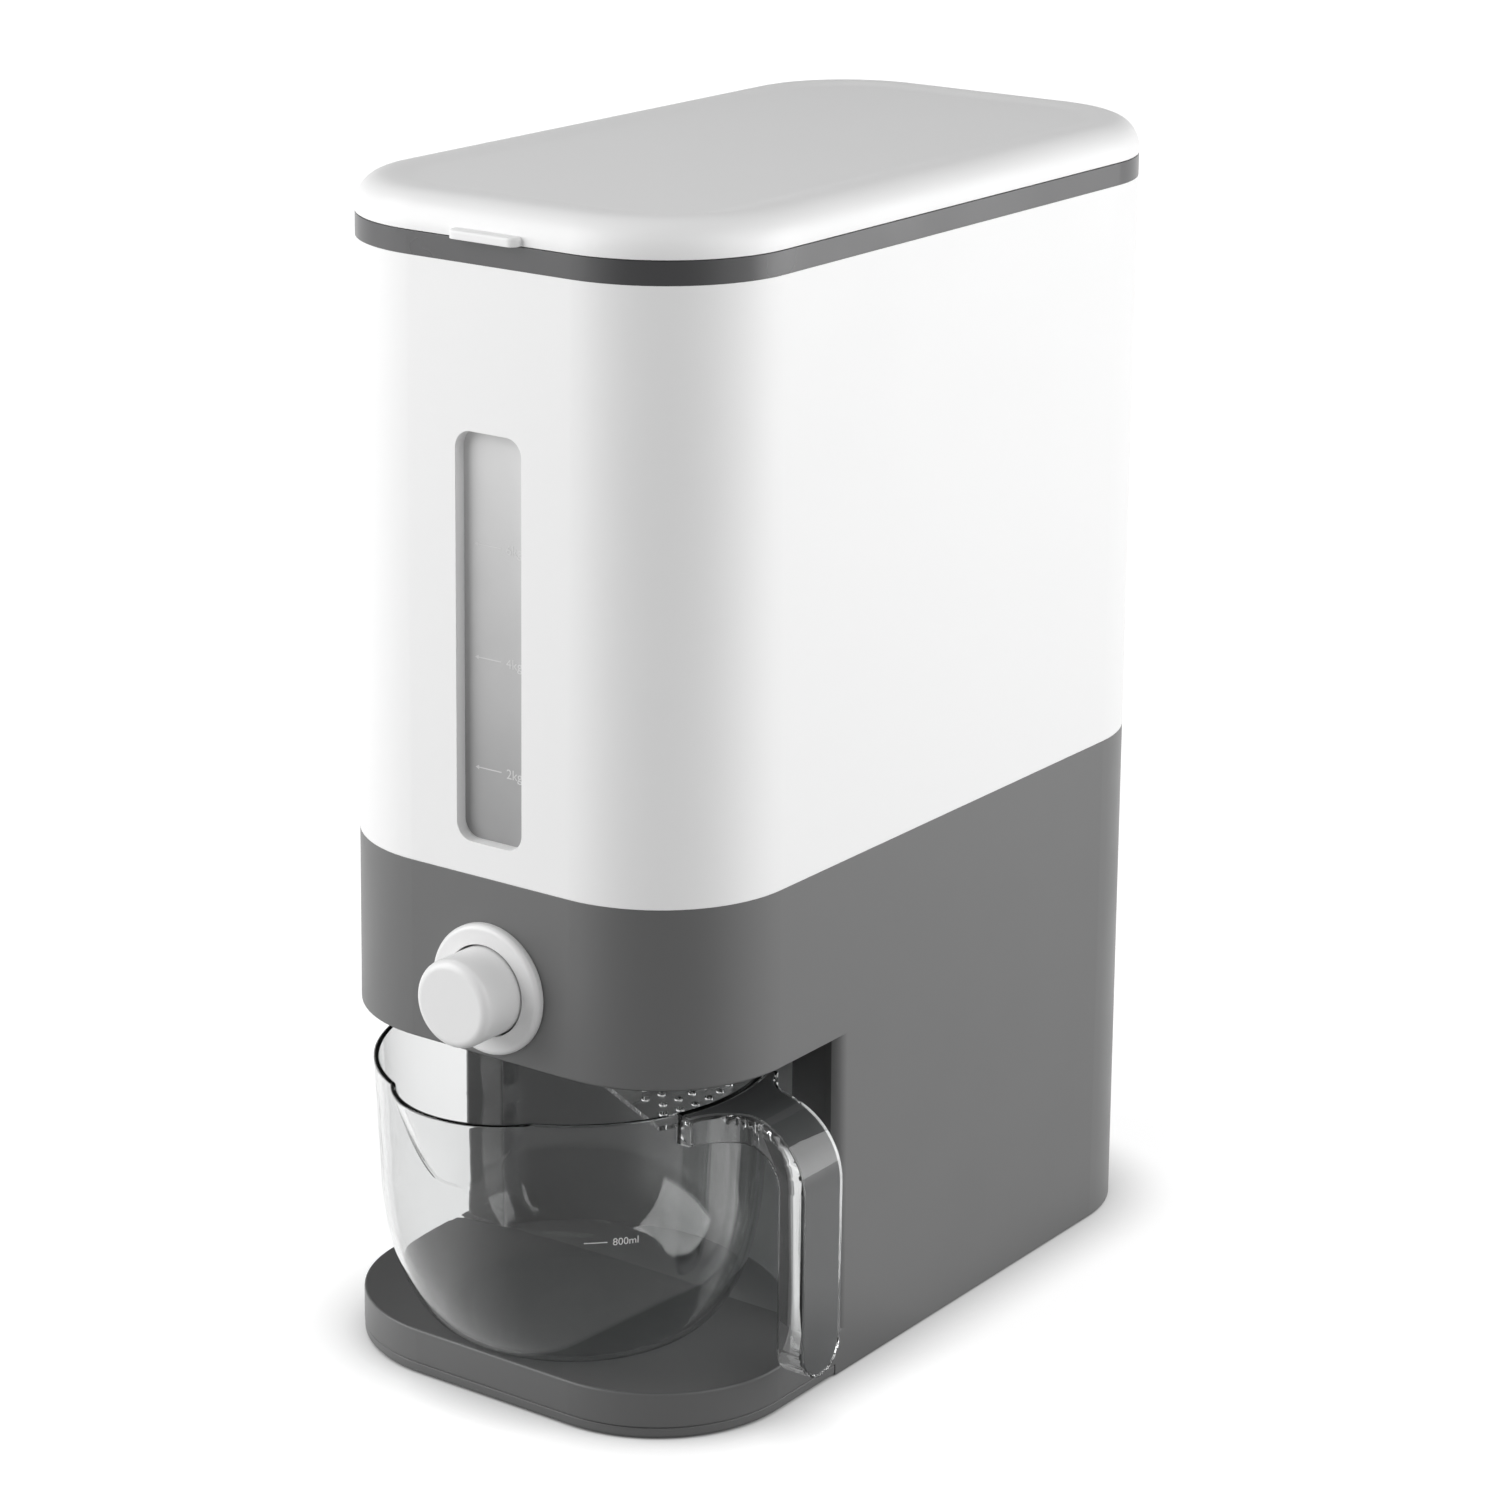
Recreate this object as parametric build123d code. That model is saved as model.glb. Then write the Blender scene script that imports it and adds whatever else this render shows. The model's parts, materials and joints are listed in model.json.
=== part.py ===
"""Rice dispenser: a hinged-lid bin over a push-button slide gate, with a clear measuring cup in an open bay.

Frame: millimetres, +Z up, Z = 0 on the floor, X = 0 and Y = 0 at the centre of the body, front at -Y.
"""
from build123d import *
import math
import os

os.makedirs("parts", exist_ok=True)

# ---------------------------------------------------------------- body outline
BODY_WIDTH = 192.5          # at floor level
BODY_DEPTH = 349.8
BODY_CORNER = 58.3
DRAFT_DEG = 0.5             # each outer wall leans inwards with height
WALL = 2.5                  # housing, shell and lid mouldings

# ---------------------------------------------------------------- heights of the body
FLOOR_GAP = 0.8             # base plate above the floor
BASE_PLATE_THICKNESS = 4.3
PLATFORM_TOP = 19.7
BAY_HEIGHT = 124.1          # platform to the head's underside
HEAD_HEIGHT = 72.0          # head's underside to the white shell
SHELL_HEIGHT = 233.3
TRIM_HEIGHT = 8.9
LID_RISE = 13.8             # lid edge to its crest

# ---------------------------------------------------------------- general clearances
SEAM = 0.3                  # between pieces that move apart, and along open seams
SLIP = 0.2                  # a tongue in its wall
RUNNING = 0.08              # radial, shaft in a bearing hole
SNUG = 0.05                 # radial, screw or pin in its own hole
CUT_OVER = 1.0              # how far a cutting tool runs past a face
NEAR = 1.0                  # how near an edge must lie to the place it is picked by

# ---------------------------------------------------------------- bay and platform
BAY_DEPTH = 97.9            # front wall's foot to the flat parts of the bay's rear wall
BAY_CLEARANCE = 8.0         # hollow round the cup's rim
BAY_CORNER = 6.0
BAY_INNER_CORNER = 2.0
EDGE_SOFTENING = 1.0
BAY_RIM_ZONE = 20.0         # bay edges this near the outside are softened
PLATE_INSET = 0.2           # base plate edge behind the platform's face
PLATE_ROUNDING = 1.2        # lower edge of its visible band
PLATE_SOFTENING = 0.5       # upper edge of that band

# ---------------------------------------------------------------- window
WINDOW_WIDTH = 31.0
WINDOW_RISE = 13.3          # above the shell's lower edge
WINDOW_HEIGHT = 158.0
WINDOW_CORNER = 7.0
WINDOW_DEPTH = 5.0          # reveal, front face to pane
WINDOW_LIP = 1.8
PANE_THICKNESS = 1.2
PANE_OVERLAP = 3.0

# ---------------------------------------------------------------- shell tongue and top trim
TONGUE = 1.6                # thickness of the locating tongues
TONGUE_DEPTH = 6.5
TRIM_WIDTH = 3.0
LEDGE_WIDTH = 3.3
LEDGE_THICKNESS = 2.5

# ---------------------------------------------------------------- inner bin
BIN_INSET = 6.5
BIN_WALL = 2.0
BIN_FLANGE = 2.0
HOPPER_HEIGHT = 65.0        # low enough for the window's marks to hold their kilograms
NECK_LENGTH = 7.7
NECK_GAP = 0.5              # neck above the gate's track

# ---------------------------------------------------------------- outlet, gate and track
OUTLET_SETBACK = 62.9       # behind the front wall's foot
OUTLET_WIDTH = 40.0
OUTLET_LENGTH = 13.0
OUTLET_CORNER = 3.0
GATE_TRAVEL = 15.0
GATE_WIDTH = 52.0
GATE_THICKNESS = 3.0
GATE_LAP = 3.0              # closed gate past the outlet at the back
GATE_RISE = 16.8            # above the head's underside
LUG_WIDTH = 16.0
LUG_THICKNESS = 4.0
LUG_RISE = 6.5              # above the rod's axis
GATE_BRIDGE = 9.0           # gate between its slot and the lug
TRACK_FLOOR = 2.7
TRACK_RAIL = 5.7
TRACK_COVER = 3.0
TRACK_STOP = 2.5
GUIDE_WALL = 3.0
GUIDE_WIDTH = 44.0
GUIDE_RISE = 14.0           # above the rod's axis
TRACK_EAR = 12.0
POST_RADIUS = 4.0
POST_OUT = 6.0              # outside the track's edge
POST_INSET_Y = 8.0          # from either end of the track
GASKET_WIDTH = 3.0
GASKET_HEIGHT = 3.2
CHUTE_WALL = 2.0
CHUTE_DROP = 2.0            # below the head
CHUTE_FLANGE = 8.0
CHUTE_FLANGE_THICKNESS = 2.0

# ---------------------------------------------------------------- button, rod and spring
BUTTON_RISE = 28.3          # above the head's underside
BUTTON_RADIUS = 17.5
BUTTON_WALL = 2.0
BUTTON_FACE = 2.5
BUTTON_ROUNDING = 3.5
BUTTON_PROUD = 20.0         # past the bezel
BUTTON_FLANGE = 2.0
BUTTON_HUB_RADIUS = 6.5
BUTTON_HUB_LENGTH = 12.4
BEZEL_RADIUS = 26.0
BEZEL_PROUD = 3.5
BEZEL_ROUNDING = 2.2
BEZEL_BORE_GAP = 0.8
BEZEL_SLEEVE_WALL = 2.2
BEZEL_SLEEVE_BACK = 2.7     # sleeve behind the housing wall
ROD_RADIUS = 4.0
ROD_SEAT = 2.0              # rod end behind the button's face
SPRING_SEAT_RADIUS = 12.5
SPRING_SEAT_LENGTH = 10.5
SPRING_RADIUS = 10.0
SPRING_WIRE = 1.4
SPRING_TURNS = 8

# ---------------------------------------------------------------- lid, seal and hinge
LID_ROUND = 12.0
CREST_WIDTH = 1.0
DISH_WIDTH = 11.0
DISH_DEPTH = 1.2
TAB_WIDTH = 31.0
TAB_DEPTH = 4.6
TAB_HEIGHT = 3.4
TAB_CORNER = 3.0
LID_PLATE = 2.2
LID_PLATE_GAP = 0.7         # lid wall to the inner plate's edge
PLUG_WALL = 2.0
PLUG_DEPTH = 11.0
SEAL_WIDTH = 2.2
SEAL_HEIGHT = 3.5
SEAL_RIM = 1.8
LID_BOSS_RADIUS = 3.5
LID_SCREW_INSET_X = 41.25   # from the sides of the body at floor level
LID_SCREW_INSET_Y = 64.9
HINGE_RADIUS = 4.5
HINGE_GAP = 0.4
HINGE_DROP = 2.4            # pin axis below the top of the trim
KNUCKLE_WIDTH = 53.4
EAR_WIDTH = 6.0
PIN_RADIUS = 1.5

# ---------------------------------------------------------------- cup
CUP_SETBACK = 52.9          # axis behind the front wall's foot
CUP_WALL = 2.2
CUP_HEADROOM = 12.7         # rim below the head
CUP_RIM_RADIUS = 78.0
CUP_WALL_RADIUS = 76.0      # where the wall meets the rounded bottom
CUP_BOWL_HEIGHT = 67.0
CUP_FOOT_RADIUS = 46.5
CUP_RIM_ROUNDING = 0.9
SPOUT_RADIUS = 44.5         # lip at the rim
SPOUT_REACH = 9.0           # lip past the rim circle
SPOUT_DEPTH = 31.0
SPOUT_TOE_RADIUS = 28.0
STRAINER_ANGLE = 54.0
STRAINER_DROP = 4.0         # below the rim
STRAINER_THICKNESS = 2.0
STRAINER_INNER_RADIUS = 26.0
STRAINER_HOLE_RADIUS = 1.7
STRAINER_ROW_STEP = 8.0
STRAINER_HOLE_STEP = 8.0

# ---------------------------------------------------------------- cup handle
HANDLE_REACH = 42.0         # outer face beyond the cup's rim
HANDLE_END_RISE = 5.4       # above the platform
HANDLE_WIDTH = 25.0
HANDLE_DEPTH = 12.0
HANDLE_BEND = 29.0
HANDLE_WEB = 2.6
HANDLE_FLANGE = 2.2
HANDLE_ROOT_WIDTH = 58.0
HANDLE_FLARE = 22.0
HANDLE_RIBS = 4
HANDLE_RIB = 1.2
HANDLE_RIB_STEP = 4.5
HANDLE_RIB_HEIGHT = 3.5

# ---------------------------------------------------------------- fasteners and feet
SCREW_RADIUS = 1.5
SCREW_HEAD_RADIUS = 2.8
SCREW_HEAD = 1.8
SCREW_LENGTH = 9.0
BOSS_RADIUS = 4.0
BOSS_HEIGHT = 14.0
BOSS_RIB = 2.0
BASE_SCREW_FRONT = (38.25, 56.9)    # inset from the side and the front at floor level
BASE_SCREW_SIDE_Y = 20.0
BASE_SCREW_BACK_X = 45.0
BOSS_WALL_GAP = 4.0         # side and back bosses to the wall
FOOT_RADIUS = 8.0
FOOT_RECESS = 1.2
FOOT_INSET_X = 34.25        # from the sides of the body at floor level
FOOT_INSET_Y = 36.9

# ---------------------------------------------------------------- worked-out places
draft = math.tan(math.radians(DRAFT_DEG))
base_plate_top = FLOOR_GAP + BASE_PLATE_THICKNESS
head_underside = PLATFORM_TOP + BAY_HEIGHT
shell_joint = head_underside + HEAD_HEIGHT
trim_bottom = shell_joint + SHELL_HEIGHT
trim_top = trim_bottom + TRIM_HEIGHT
lid_bottom = trim_top + SEAM
window_bottom = shell_joint + WINDOW_RISE
window_top = window_bottom + WINDOW_HEIGHT
bin_top = trim_bottom + LEDGE_THICKNESS + BIN_FLANGE
bin_inner_inset = BIN_INSET + BIN_WALL
bay_rear_y = BAY_DEPTH - BODY_DEPTH / 2
bay_radius = CUP_RIM_RADIUS + BAY_CLEARANCE
outlet_y = OUTLET_SETBACK - BODY_DEPTH / 2
cup_y = CUP_SETBACK - BODY_DEPTH / 2


def half_width(z):
    return BODY_WIDTH / 2 - z * draft


def half_depth(z):
    return BODY_DEPTH / 2 - z * draft


def outline(z, inset=0.0):
    """Rounded outline of the body at a height, drawn in by inset."""
    corner = BODY_CORNER - z * draft - inset
    return Pos(0, 0, z) * RectangleRounded(2 * (half_width(z) - inset), 2 * (half_depth(z) - inset), corner)


def block(z0, z1, inset=0.0):
    """Solid of the body's drafted outline between two heights."""
    return loft([outline(z0, inset), outline(z1, inset)])


def ring(z0, z1, inset_out, inset_in):
    """Band of the body's outline between two insets."""
    return block(z0, z1, inset_out) - block(z0 - CUT_OVER, z1 + CUT_OVER, inset_in)


def box(x0, x1, y0, y1, z0, z1):
    """Box between two corners."""
    return Pos((x0 + x1) / 2, (y0 + y1) / 2, (z0 + z1) / 2) * Box(x1 - x0, y1 - y0, z1 - z0)


def prism(width, length, corner, y, z0, z1):
    """Upright rounded bar at the outlet or elsewhere on the centre line."""
    return extrude(Pos(0, y, z0) * RectangleRounded(width, length, corner), z1 - z0)


def upright(radius, x, y, z0, z1):
    """Upright cylinder."""
    return Pos(x, y, (z0 + z1) / 2) * Cylinder(radius, z1 - z0)


def along_y(radius, y0, y1, z):
    """Cylinder along Y on the centre line."""
    return Pos(0, (y0 + y1) / 2, z) * Rot(90, 0, 0) * Cylinder(radius, y1 - y0)


def along_x(radius, x0, x1, y, z):
    """Cylinder along X."""
    return Pos((x0 + x1) / 2, y, z) * Rot(0, 90, 0) * Cylinder(radius, x1 - x0)


def screw(x, y, z, down):
    """Pan-head screw whose head rests at height z; the shank points down, or up if down is False."""
    sign = -1 if down else 1
    head = sorted((z, z - sign * SCREW_HEAD))
    shank = sorted((z, z + sign * SCREW_LENGTH))
    return upright(SCREW_HEAD_RADIUS, x, y, *head) + upright(SCREW_RADIUS, x, y, *shank)


def edges_near(shape, test):
    """Edges of a shape whose centre passes a test."""
    return ShapeList([e for e in shape.edges() if test(e.center(), e)])


# ---------------------------------------------------------------- places of the outlet train
button_z = head_underside + BUTTON_RISE
front_y = -half_depth(button_z)
bezel_front = front_y - BEZEL_PROUD
button_front = bezel_front - BUTTON_PROUD
sleeve_back = front_y + WALL + BEZEL_SLEEVE_BACK
button_back = sleeve_back + SEAM
gate_back = outlet_y + OUTLET_LENGTH / 2 + GATE_LAP
gate_slot_y = outlet_y - GATE_TRAVEL
lug_back = gate_slot_y - OUTLET_LENGTH / 2 - GATE_BRIDGE
lug_front = lug_back - LUG_THICKNESS
gate_bottom = head_underside + GATE_RISE
gate_top = gate_bottom + GATE_THICKNESS
track_top = gate_top + SEAM
track_floor_top = gate_bottom - SEAM
track_bottom = track_floor_top - TRACK_FLOOR
track_half = GATE_WIDTH / 2 + SEAM + TRACK_RAIL
guide_back = lug_front - 2 * SEAM
guide_front = guide_back - GUIDE_WALL
track_end = gate_back + GATE_TRAVEL + 2 * SEAM + TRACK_STOP
spring_seat = guide_front - SPRING_SEAT_LENGTH
head_floor = head_underside + WALL
neck_bottom = track_top + NECK_GAP
neck_top = neck_bottom + NECK_LENGTH
hopper_top = neck_top + HOPPER_HEIGHT
post_places = [
    (side * (track_half + POST_OUT), y)
    for side in (-1, 1)
    for y in (guide_front + POST_INSET_Y, track_end - POST_INSET_Y)
]
base_screw_places = [
    (side * x, y)
    for side in (-1, 1)
    for x, y in (
        (half_width(0) - BASE_SCREW_FRONT[0], BASE_SCREW_FRONT[1] - half_depth(0)),
        (half_width(0) - WALL - BOSS_WALL_GAP - BOSS_RADIUS, BASE_SCREW_SIDE_Y),
        (BASE_SCREW_BACK_X, half_depth(0) - WALL - BOSS_WALL_GAP - BOSS_RADIUS),
    )
]
lid_screw_x = half_width(0) - LID_SCREW_INSET_X
lid_screw_y = half_depth(0) - LID_SCREW_INSET_Y
lid_screw_places = [(side * lid_screw_x, y) for side in (-1, 1) for y in (-lid_screw_y, 0, lid_screw_y)]
foot_x = half_width(0) - FOOT_INSET_X
foot_y = half_depth(0) - FOOT_INSET_Y
foot_places = [(0, 0)] + [(sx * foot_x, sy * foot_y) for sx in (-1, 1) for sy in (-1, 1)]
hinge_y = half_depth(trim_top) + HINGE_GAP + HINGE_RADIUS
hinge_z = trim_top - HINGE_DROP
cup_bottom = PLATFORM_TOP + SEAM
cup_rim_z = head_underside - CUP_HEADROOM
strainer_top = cup_rim_z - STRAINER_DROP
handle_x = CUP_RIM_RADIUS + HANDLE_REACH
handle_end = PLATFORM_TOP + HANDLE_END_RISE
handle_top = cup_rim_z


# ---------------------------------------------------------------- lower housing
def bay_space(grow):
    """Space of the cup bay, open to the front and both sides."""
    rear = bay_rear_y + grow
    plan = Pos(0, rear - BODY_DEPTH / 2) * Rectangle(2 * BODY_WIDTH, BODY_DEPTH)
    plan += Pos(0, cup_y) * Circle(bay_radius + grow)
    low = PLATFORM_TOP - grow
    return extrude(Pos(0, 0, low) * plan, head_underside - PLATFORM_TOP + 2 * grow)


def softened_form(inset, grow, corner, inner_corner, z0, z1):
    """Body outline less the bay, with the bay's upright edges rounded."""
    form = block(z0, z1, inset) - bay_space(grow)
    tall = (head_underside - PLATFORM_TOP) / 2

    def at_side(c, e):
        at_rear = e.length > tall and abs(c.Y - bay_rear_y - grow) < NEAR
        return at_rear and abs(c.X) > half_width(c.Z) - inset - 2 * NEAR

    def at_hollow(c, e):
        return e.length > tall and abs(c.Y - bay_rear_y - grow) < NEAR and abs(c.X) < bay_radius

    form = fillet(edges_near(form, at_side), corner)
    return fillet(edges_near(form, at_hollow), inner_corner)


def make_base_housing():
    outer = softened_form(0, 0, BAY_CORNER, BAY_INNER_CORNER, FLOOR_GAP, shell_joint)

    def at_bay_rim(c, e):
        level = min(abs(c.Z - PLATFORM_TOP), abs(c.Z - head_underside)) < SNUG
        outside = abs(c.X) > half_width(c.Z) - BAY_RIM_ZONE or c.Y < BAY_RIM_ZONE - half_depth(c.Z)
        return level and outside and c.Y < bay_rear_y

    outer = fillet(edges_near(outer, at_bay_rim), EDGE_SOFTENING)
    inner = softened_form(
        WALL, WALL, BAY_CORNER - WALL, BAY_INNER_CORNER + WALL, FLOOR_GAP - CUT_OVER, shell_joint + CUT_OVER
    )
    skirt_cut = box(
        -BODY_WIDTH, BODY_WIDTH, -BODY_DEPTH, bay_rear_y, FLOOR_GAP - CUT_OVER, base_plate_top + SEAM
    )
    housing = outer - inner - skirt_cut

    # bosses for the base plate's screws: under the platform, and on ribs from the side and back walls
    front, side, back = base_screw_places[3:]
    for sx in (-1, 1):
        housing += upright(BOSS_RADIUS, sx * front[0], front[1], base_plate_top, PLATFORM_TOP - WALL)
        top = base_plate_top + BOSS_HEIGHT
        x, y = sx * side[0], side[1]
        wall_x = sx * (half_width(0) - WALL)
        housing += upright(BOSS_RADIUS, x, y, base_plate_top, top)
        housing += box(
            min(x, wall_x), max(x, wall_x), y - BOSS_RIB / 2, y + BOSS_RIB / 2, base_plate_top, top
        )
        x, y = sx * back[0], back[1]
        housing += upright(BOSS_RADIUS, x, y, base_plate_top, top)
        housing += box(
            x - BOSS_RIB / 2, x + BOSS_RIB / 2, y, half_depth(0) - WALL, base_plate_top, top
        )
    screw_tip = FLOOR_GAP + SCREW_HEAD + SCREW_LENGTH
    for x, y in base_screw_places:
        housing -= upright(SCREW_RADIUS + SNUG, x, y, base_plate_top - CUT_OVER, screw_tip)

    # posts for the gate housing
    for x, y in post_places:
        housing += upright(POST_RADIUS, x, y, head_floor - CUT_OVER, track_bottom)
        housing -= upright(
            SCREW_RADIUS + SNUG, x, y, track_floor_top - SCREW_LENGTH - SNUG, track_bottom + CUT_OVER
        )

    # button opening in the front wall, chute opening in the head's underside
    sleeve = BUTTON_RADIUS + BEZEL_BORE_GAP + BEZEL_SLEEVE_WALL
    housing -= along_y(sleeve + SLIP, front_y - 2 * WALL, front_y + 2 * WALL, button_z)
    chute = CHUTE_WALL + SEAM
    housing -= prism(
        OUTLET_WIDTH + 2 * (chute + SEAM), OUTLET_LENGTH + 2 * (chute + SEAM), OUTLET_CORNER + chute,
        outlet_y, head_underside - CUT_OVER, head_floor + CUT_OVER,
    )
    return housing


def make_base_plate():
    rear = block(FLOOR_GAP, base_plate_top, WALL + SEAM)
    front = block(FLOOR_GAP, base_plate_top, PLATE_INSET)
    front = fillet(front.faces().sort_by(Axis.Z)[0].edges(), PLATE_ROUNDING)
    front = fillet(front.faces().sort_by(Axis.Z)[-1].edges(), PLATE_SOFTENING)
    front -= box(-BODY_WIDTH, BODY_WIDTH, bay_rear_y - SEAM, BODY_DEPTH, 0, PLATFORM_TOP)
    plate = front + rear
    for x, y in foot_places:
        plate -= upright(FOOT_RADIUS + SNUG, x, y, 0, FLOOR_GAP + FOOT_RECESS)
    for x, y in base_screw_places:
        plate -= upright(SCREW_HEAD_RADIUS + SLIP, x, y, 0, FLOOR_GAP + SCREW_HEAD)
        plate -= upright(SCREW_RADIUS + SLIP, x, y, 0, PLATFORM_TOP)
    return plate


def make_rubber_feet():
    feet = [upright(FOOT_RADIUS, x, y, 0, FLOOR_GAP + FOOT_RECESS) for x, y in foot_places]
    return Part() + [fillet(foot.faces().sort_by(Axis.Z)[0].edges(), FOOT_RECESS / 2) for foot in feet]


def make_base_screws():
    return Part() + [screw(x, y, FLOOR_GAP + SCREW_HEAD, False) for x, y in base_screw_places]


# ---------------------------------------------------------------- upper shell, window and trim
def window_bar(grow):
    """Bar through the front wall with the window's outline, grown by an amount."""
    height = window_top - window_bottom
    middle = (window_top + window_bottom) / 2
    face = RectangleRounded(WINDOW_WIDTH + 2 * grow, height + 2 * grow, WINDOW_CORNER + grow)
    start = Plane((0, -BODY_DEPTH / 4, middle), x_dir=(1, 0, 0), z_dir=(0, -1, 0))
    return extrude(start * face, BODY_DEPTH / 2)


def make_upper_shell():
    shell = ring(shell_joint, trim_bottom, 0, WALL)
    tongue_top = shell_joint + TONGUE_DEPTH
    tongue_in = WALL + SLIP + TONGUE
    shell += ring(shell_joint - TONGUE_DEPTH, tongue_top, WALL + SLIP, tongue_in)
    shell += ring(shell_joint + TONGUE_DEPTH / 2, tongue_top, WALL - SLIP, tongue_in)
    lip_zone = ring(
        window_bottom - 2 * WINDOW_LIP, window_top + 2 * WINDOW_LIP, WALL - SLIP, WINDOW_DEPTH
    )
    shell += window_bar(WINDOW_LIP) & lip_zone
    return shell - window_bar(0)


def make_window_pane():
    zone = ring(
        window_bottom - 2 * PANE_OVERLAP, window_top + 2 * PANE_OVERLAP,
        WINDOW_DEPTH, WINDOW_DEPTH + PANE_THICKNESS,
    )
    return window_bar(PANE_OVERLAP) & zone


def make_top_trim():
    trim = ring(trim_bottom, trim_top, 0, TRIM_WIDTH)
    ledge_top = trim_bottom + LEDGE_THICKNESS
    trim += ring(trim_bottom, ledge_top, TRIM_WIDTH - SLIP, TRIM_WIDTH + LEDGE_WIDTH - SLIP)
    trim += ring(
        trim_bottom - TONGUE_DEPTH, trim_bottom + LEDGE_THICKNESS / 2, WALL + SLIP, WALL + SLIP + TONGUE
    )
    back = half_depth(trim_top)
    for side in (-1, 1):
        x = sorted((side * (KNUCKLE_WIDTH / 2 + SEAM), side * (KNUCKLE_WIDTH / 2 + SEAM + EAR_WIDTH)))
        trim += along_x(HINGE_RADIUS, *x, hinge_y, hinge_z)
        trim += box(*x, back - TRIM_WIDTH / 2, hinge_y, hinge_z - HINGE_RADIUS, hinge_z)
        trim -= along_x(PIN_RADIUS + SNUG, x[0] - CUT_OVER, x[1] + CUT_OVER, hinge_y, hinge_z)
    return trim


# ---------------------------------------------------------------- inner bin
def bin_form(inset, neck_width, neck_length, neck_corner, lift, z0, z1):
    """Drafted bin with a funnel that runs to the neck; lift raises the funnel's two ends."""
    top = hopper_top + lift
    bottom = neck_top + lift
    mouth = Pos(0, outlet_y, bottom) * RectangleRounded(neck_width, neck_length, neck_corner)
    form = block(top, z1, inset)
    form += loft([mouth, outline(top, inset)])
    return form + prism(neck_width, neck_length, neck_corner, outlet_y, z0, bottom)


def make_inner_bin():
    neck = 2 * BIN_WALL
    outer = bin_form(
        BIN_INSET, OUTLET_WIDTH + neck, OUTLET_LENGTH + neck, OUTLET_CORNER + BIN_WALL, 0,
        neck_bottom, bin_top,
    )
    outer += block(bin_top - BIN_FLANGE, bin_top, TRIM_WIDTH + SEAM)
    inner = bin_form(
        bin_inner_inset, OUTLET_WIDTH, OUTLET_LENGTH, OUTLET_CORNER, BIN_WALL,
        neck_bottom - CUT_OVER, bin_top + CUT_OVER,
    )
    return outer - inner


def make_neck_gasket():
    neck = 2 * (BIN_WALL + SNUG)
    rim = neck + 2 * GASKET_WIDTH
    low = track_top + TRACK_COVER
    corner = OUTLET_CORNER + BIN_WALL + SNUG
    outer = prism(
        OUTLET_WIDTH + rim, OUTLET_LENGTH + rim, corner + GASKET_WIDTH, outlet_y, low, low + GASKET_HEIGHT
    )
    return outer - prism(
        OUTLET_WIDTH + neck, OUTLET_LENGTH + neck, corner, outlet_y, low - CUT_OVER, low + 2 * GASKET_HEIGHT
    )


# ---------------------------------------------------------------- gate, its housing and the chute
def make_gate_housing():
    rail_in = GATE_WIDTH / 2 + SEAM
    floor = box(-track_half, track_half, guide_front, track_end, track_bottom, track_floor_top)
    body = floor
    for side in (-1, 1):
        x = sorted((side * rail_in, side * track_half))
        body += box(*x, guide_front, track_end, track_bottom, track_top)
    cover_front = lug_back + GATE_TRAVEL + LUG_THICKNESS
    body += box(-track_half, track_half, cover_front, track_end, track_top, track_top + TRACK_COVER)
    body += box(-track_half, track_half, track_end - TRACK_STOP, track_end, track_bottom, track_top)
    body += box(
        -GUIDE_WIDTH / 2, GUIDE_WIDTH / 2, guide_front, guide_back, track_bottom, button_z + GUIDE_RISE
    )
    for x, y in post_places:
        ear = sorted((x - math.copysign(POST_RADIUS * 2, x), x + math.copysign(POST_RADIUS, x)))
        body += box(*ear, y - TRACK_EAR / 2, y + TRACK_EAR / 2, track_bottom, track_floor_top)
    body += along_y(SPRING_SEAT_RADIUS, spring_seat, guide_back, button_z)
    body -= along_y(ROD_RADIUS + RUNNING, spring_seat - CUT_OVER, guide_back + CUT_OVER, button_z)
    body -= prism(
        OUTLET_WIDTH + SEAM, OUTLET_LENGTH + SEAM, OUTLET_CORNER, outlet_y,
        track_bottom - CUT_OVER, track_floor_top + CUT_OVER,
    )
    neck = 2 * (BIN_WALL + SEAM)
    body -= prism(
        OUTLET_WIDTH + neck, OUTLET_LENGTH + neck, OUTLET_CORNER + BIN_WALL, outlet_y,
        track_top - CUT_OVER / 2, track_top + TRACK_COVER + CUT_OVER,
    )
    for x, y in post_places:
        body -= upright(SCREW_RADIUS + SLIP, x, y, track_bottom - CUT_OVER, track_top)
    return body


def make_track_screws():
    return Part() + [screw(x, y, track_floor_top, True) for x, y in post_places]


def make_outlet_chute():
    wall = 2 * CHUTE_WALL
    bore = SEAM
    low = head_underside - CHUTE_DROP
    width = OUTLET_WIDTH + bore
    length = OUTLET_LENGTH + bore
    tube = prism(width + wall, length + wall, OUTLET_CORNER + CHUTE_WALL, outlet_y, low, track_bottom)
    flange = 2 * CHUTE_FLANGE
    tube += prism(
        width + wall + flange, length + wall + flange, OUTLET_CORNER + CHUTE_FLANGE, outlet_y,
        head_floor, head_floor + CHUTE_FLANGE_THICKNESS,
    )
    return tube - prism(width, length, OUTLET_CORNER, outlet_y, low - CUT_OVER, track_bottom + CUT_OVER)


def make_gate_plate():
    half = GATE_WIDTH / 2
    plate = box(-half, half, lug_front, gate_back, gate_bottom, gate_top)
    plate += box(-LUG_WIDTH / 2, LUG_WIDTH / 2, lug_front, lug_back, gate_bottom, button_z + LUG_RISE)
    plate -= prism(
        OUTLET_WIDTH, OUTLET_LENGTH, OUTLET_CORNER, gate_slot_y, gate_bottom - CUT_OVER, gate_top + CUT_OVER
    )
    return plate - along_y(SCREW_RADIUS + SNUG, lug_front - CUT_OVER, lug_back + CUT_OVER, button_z)


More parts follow.
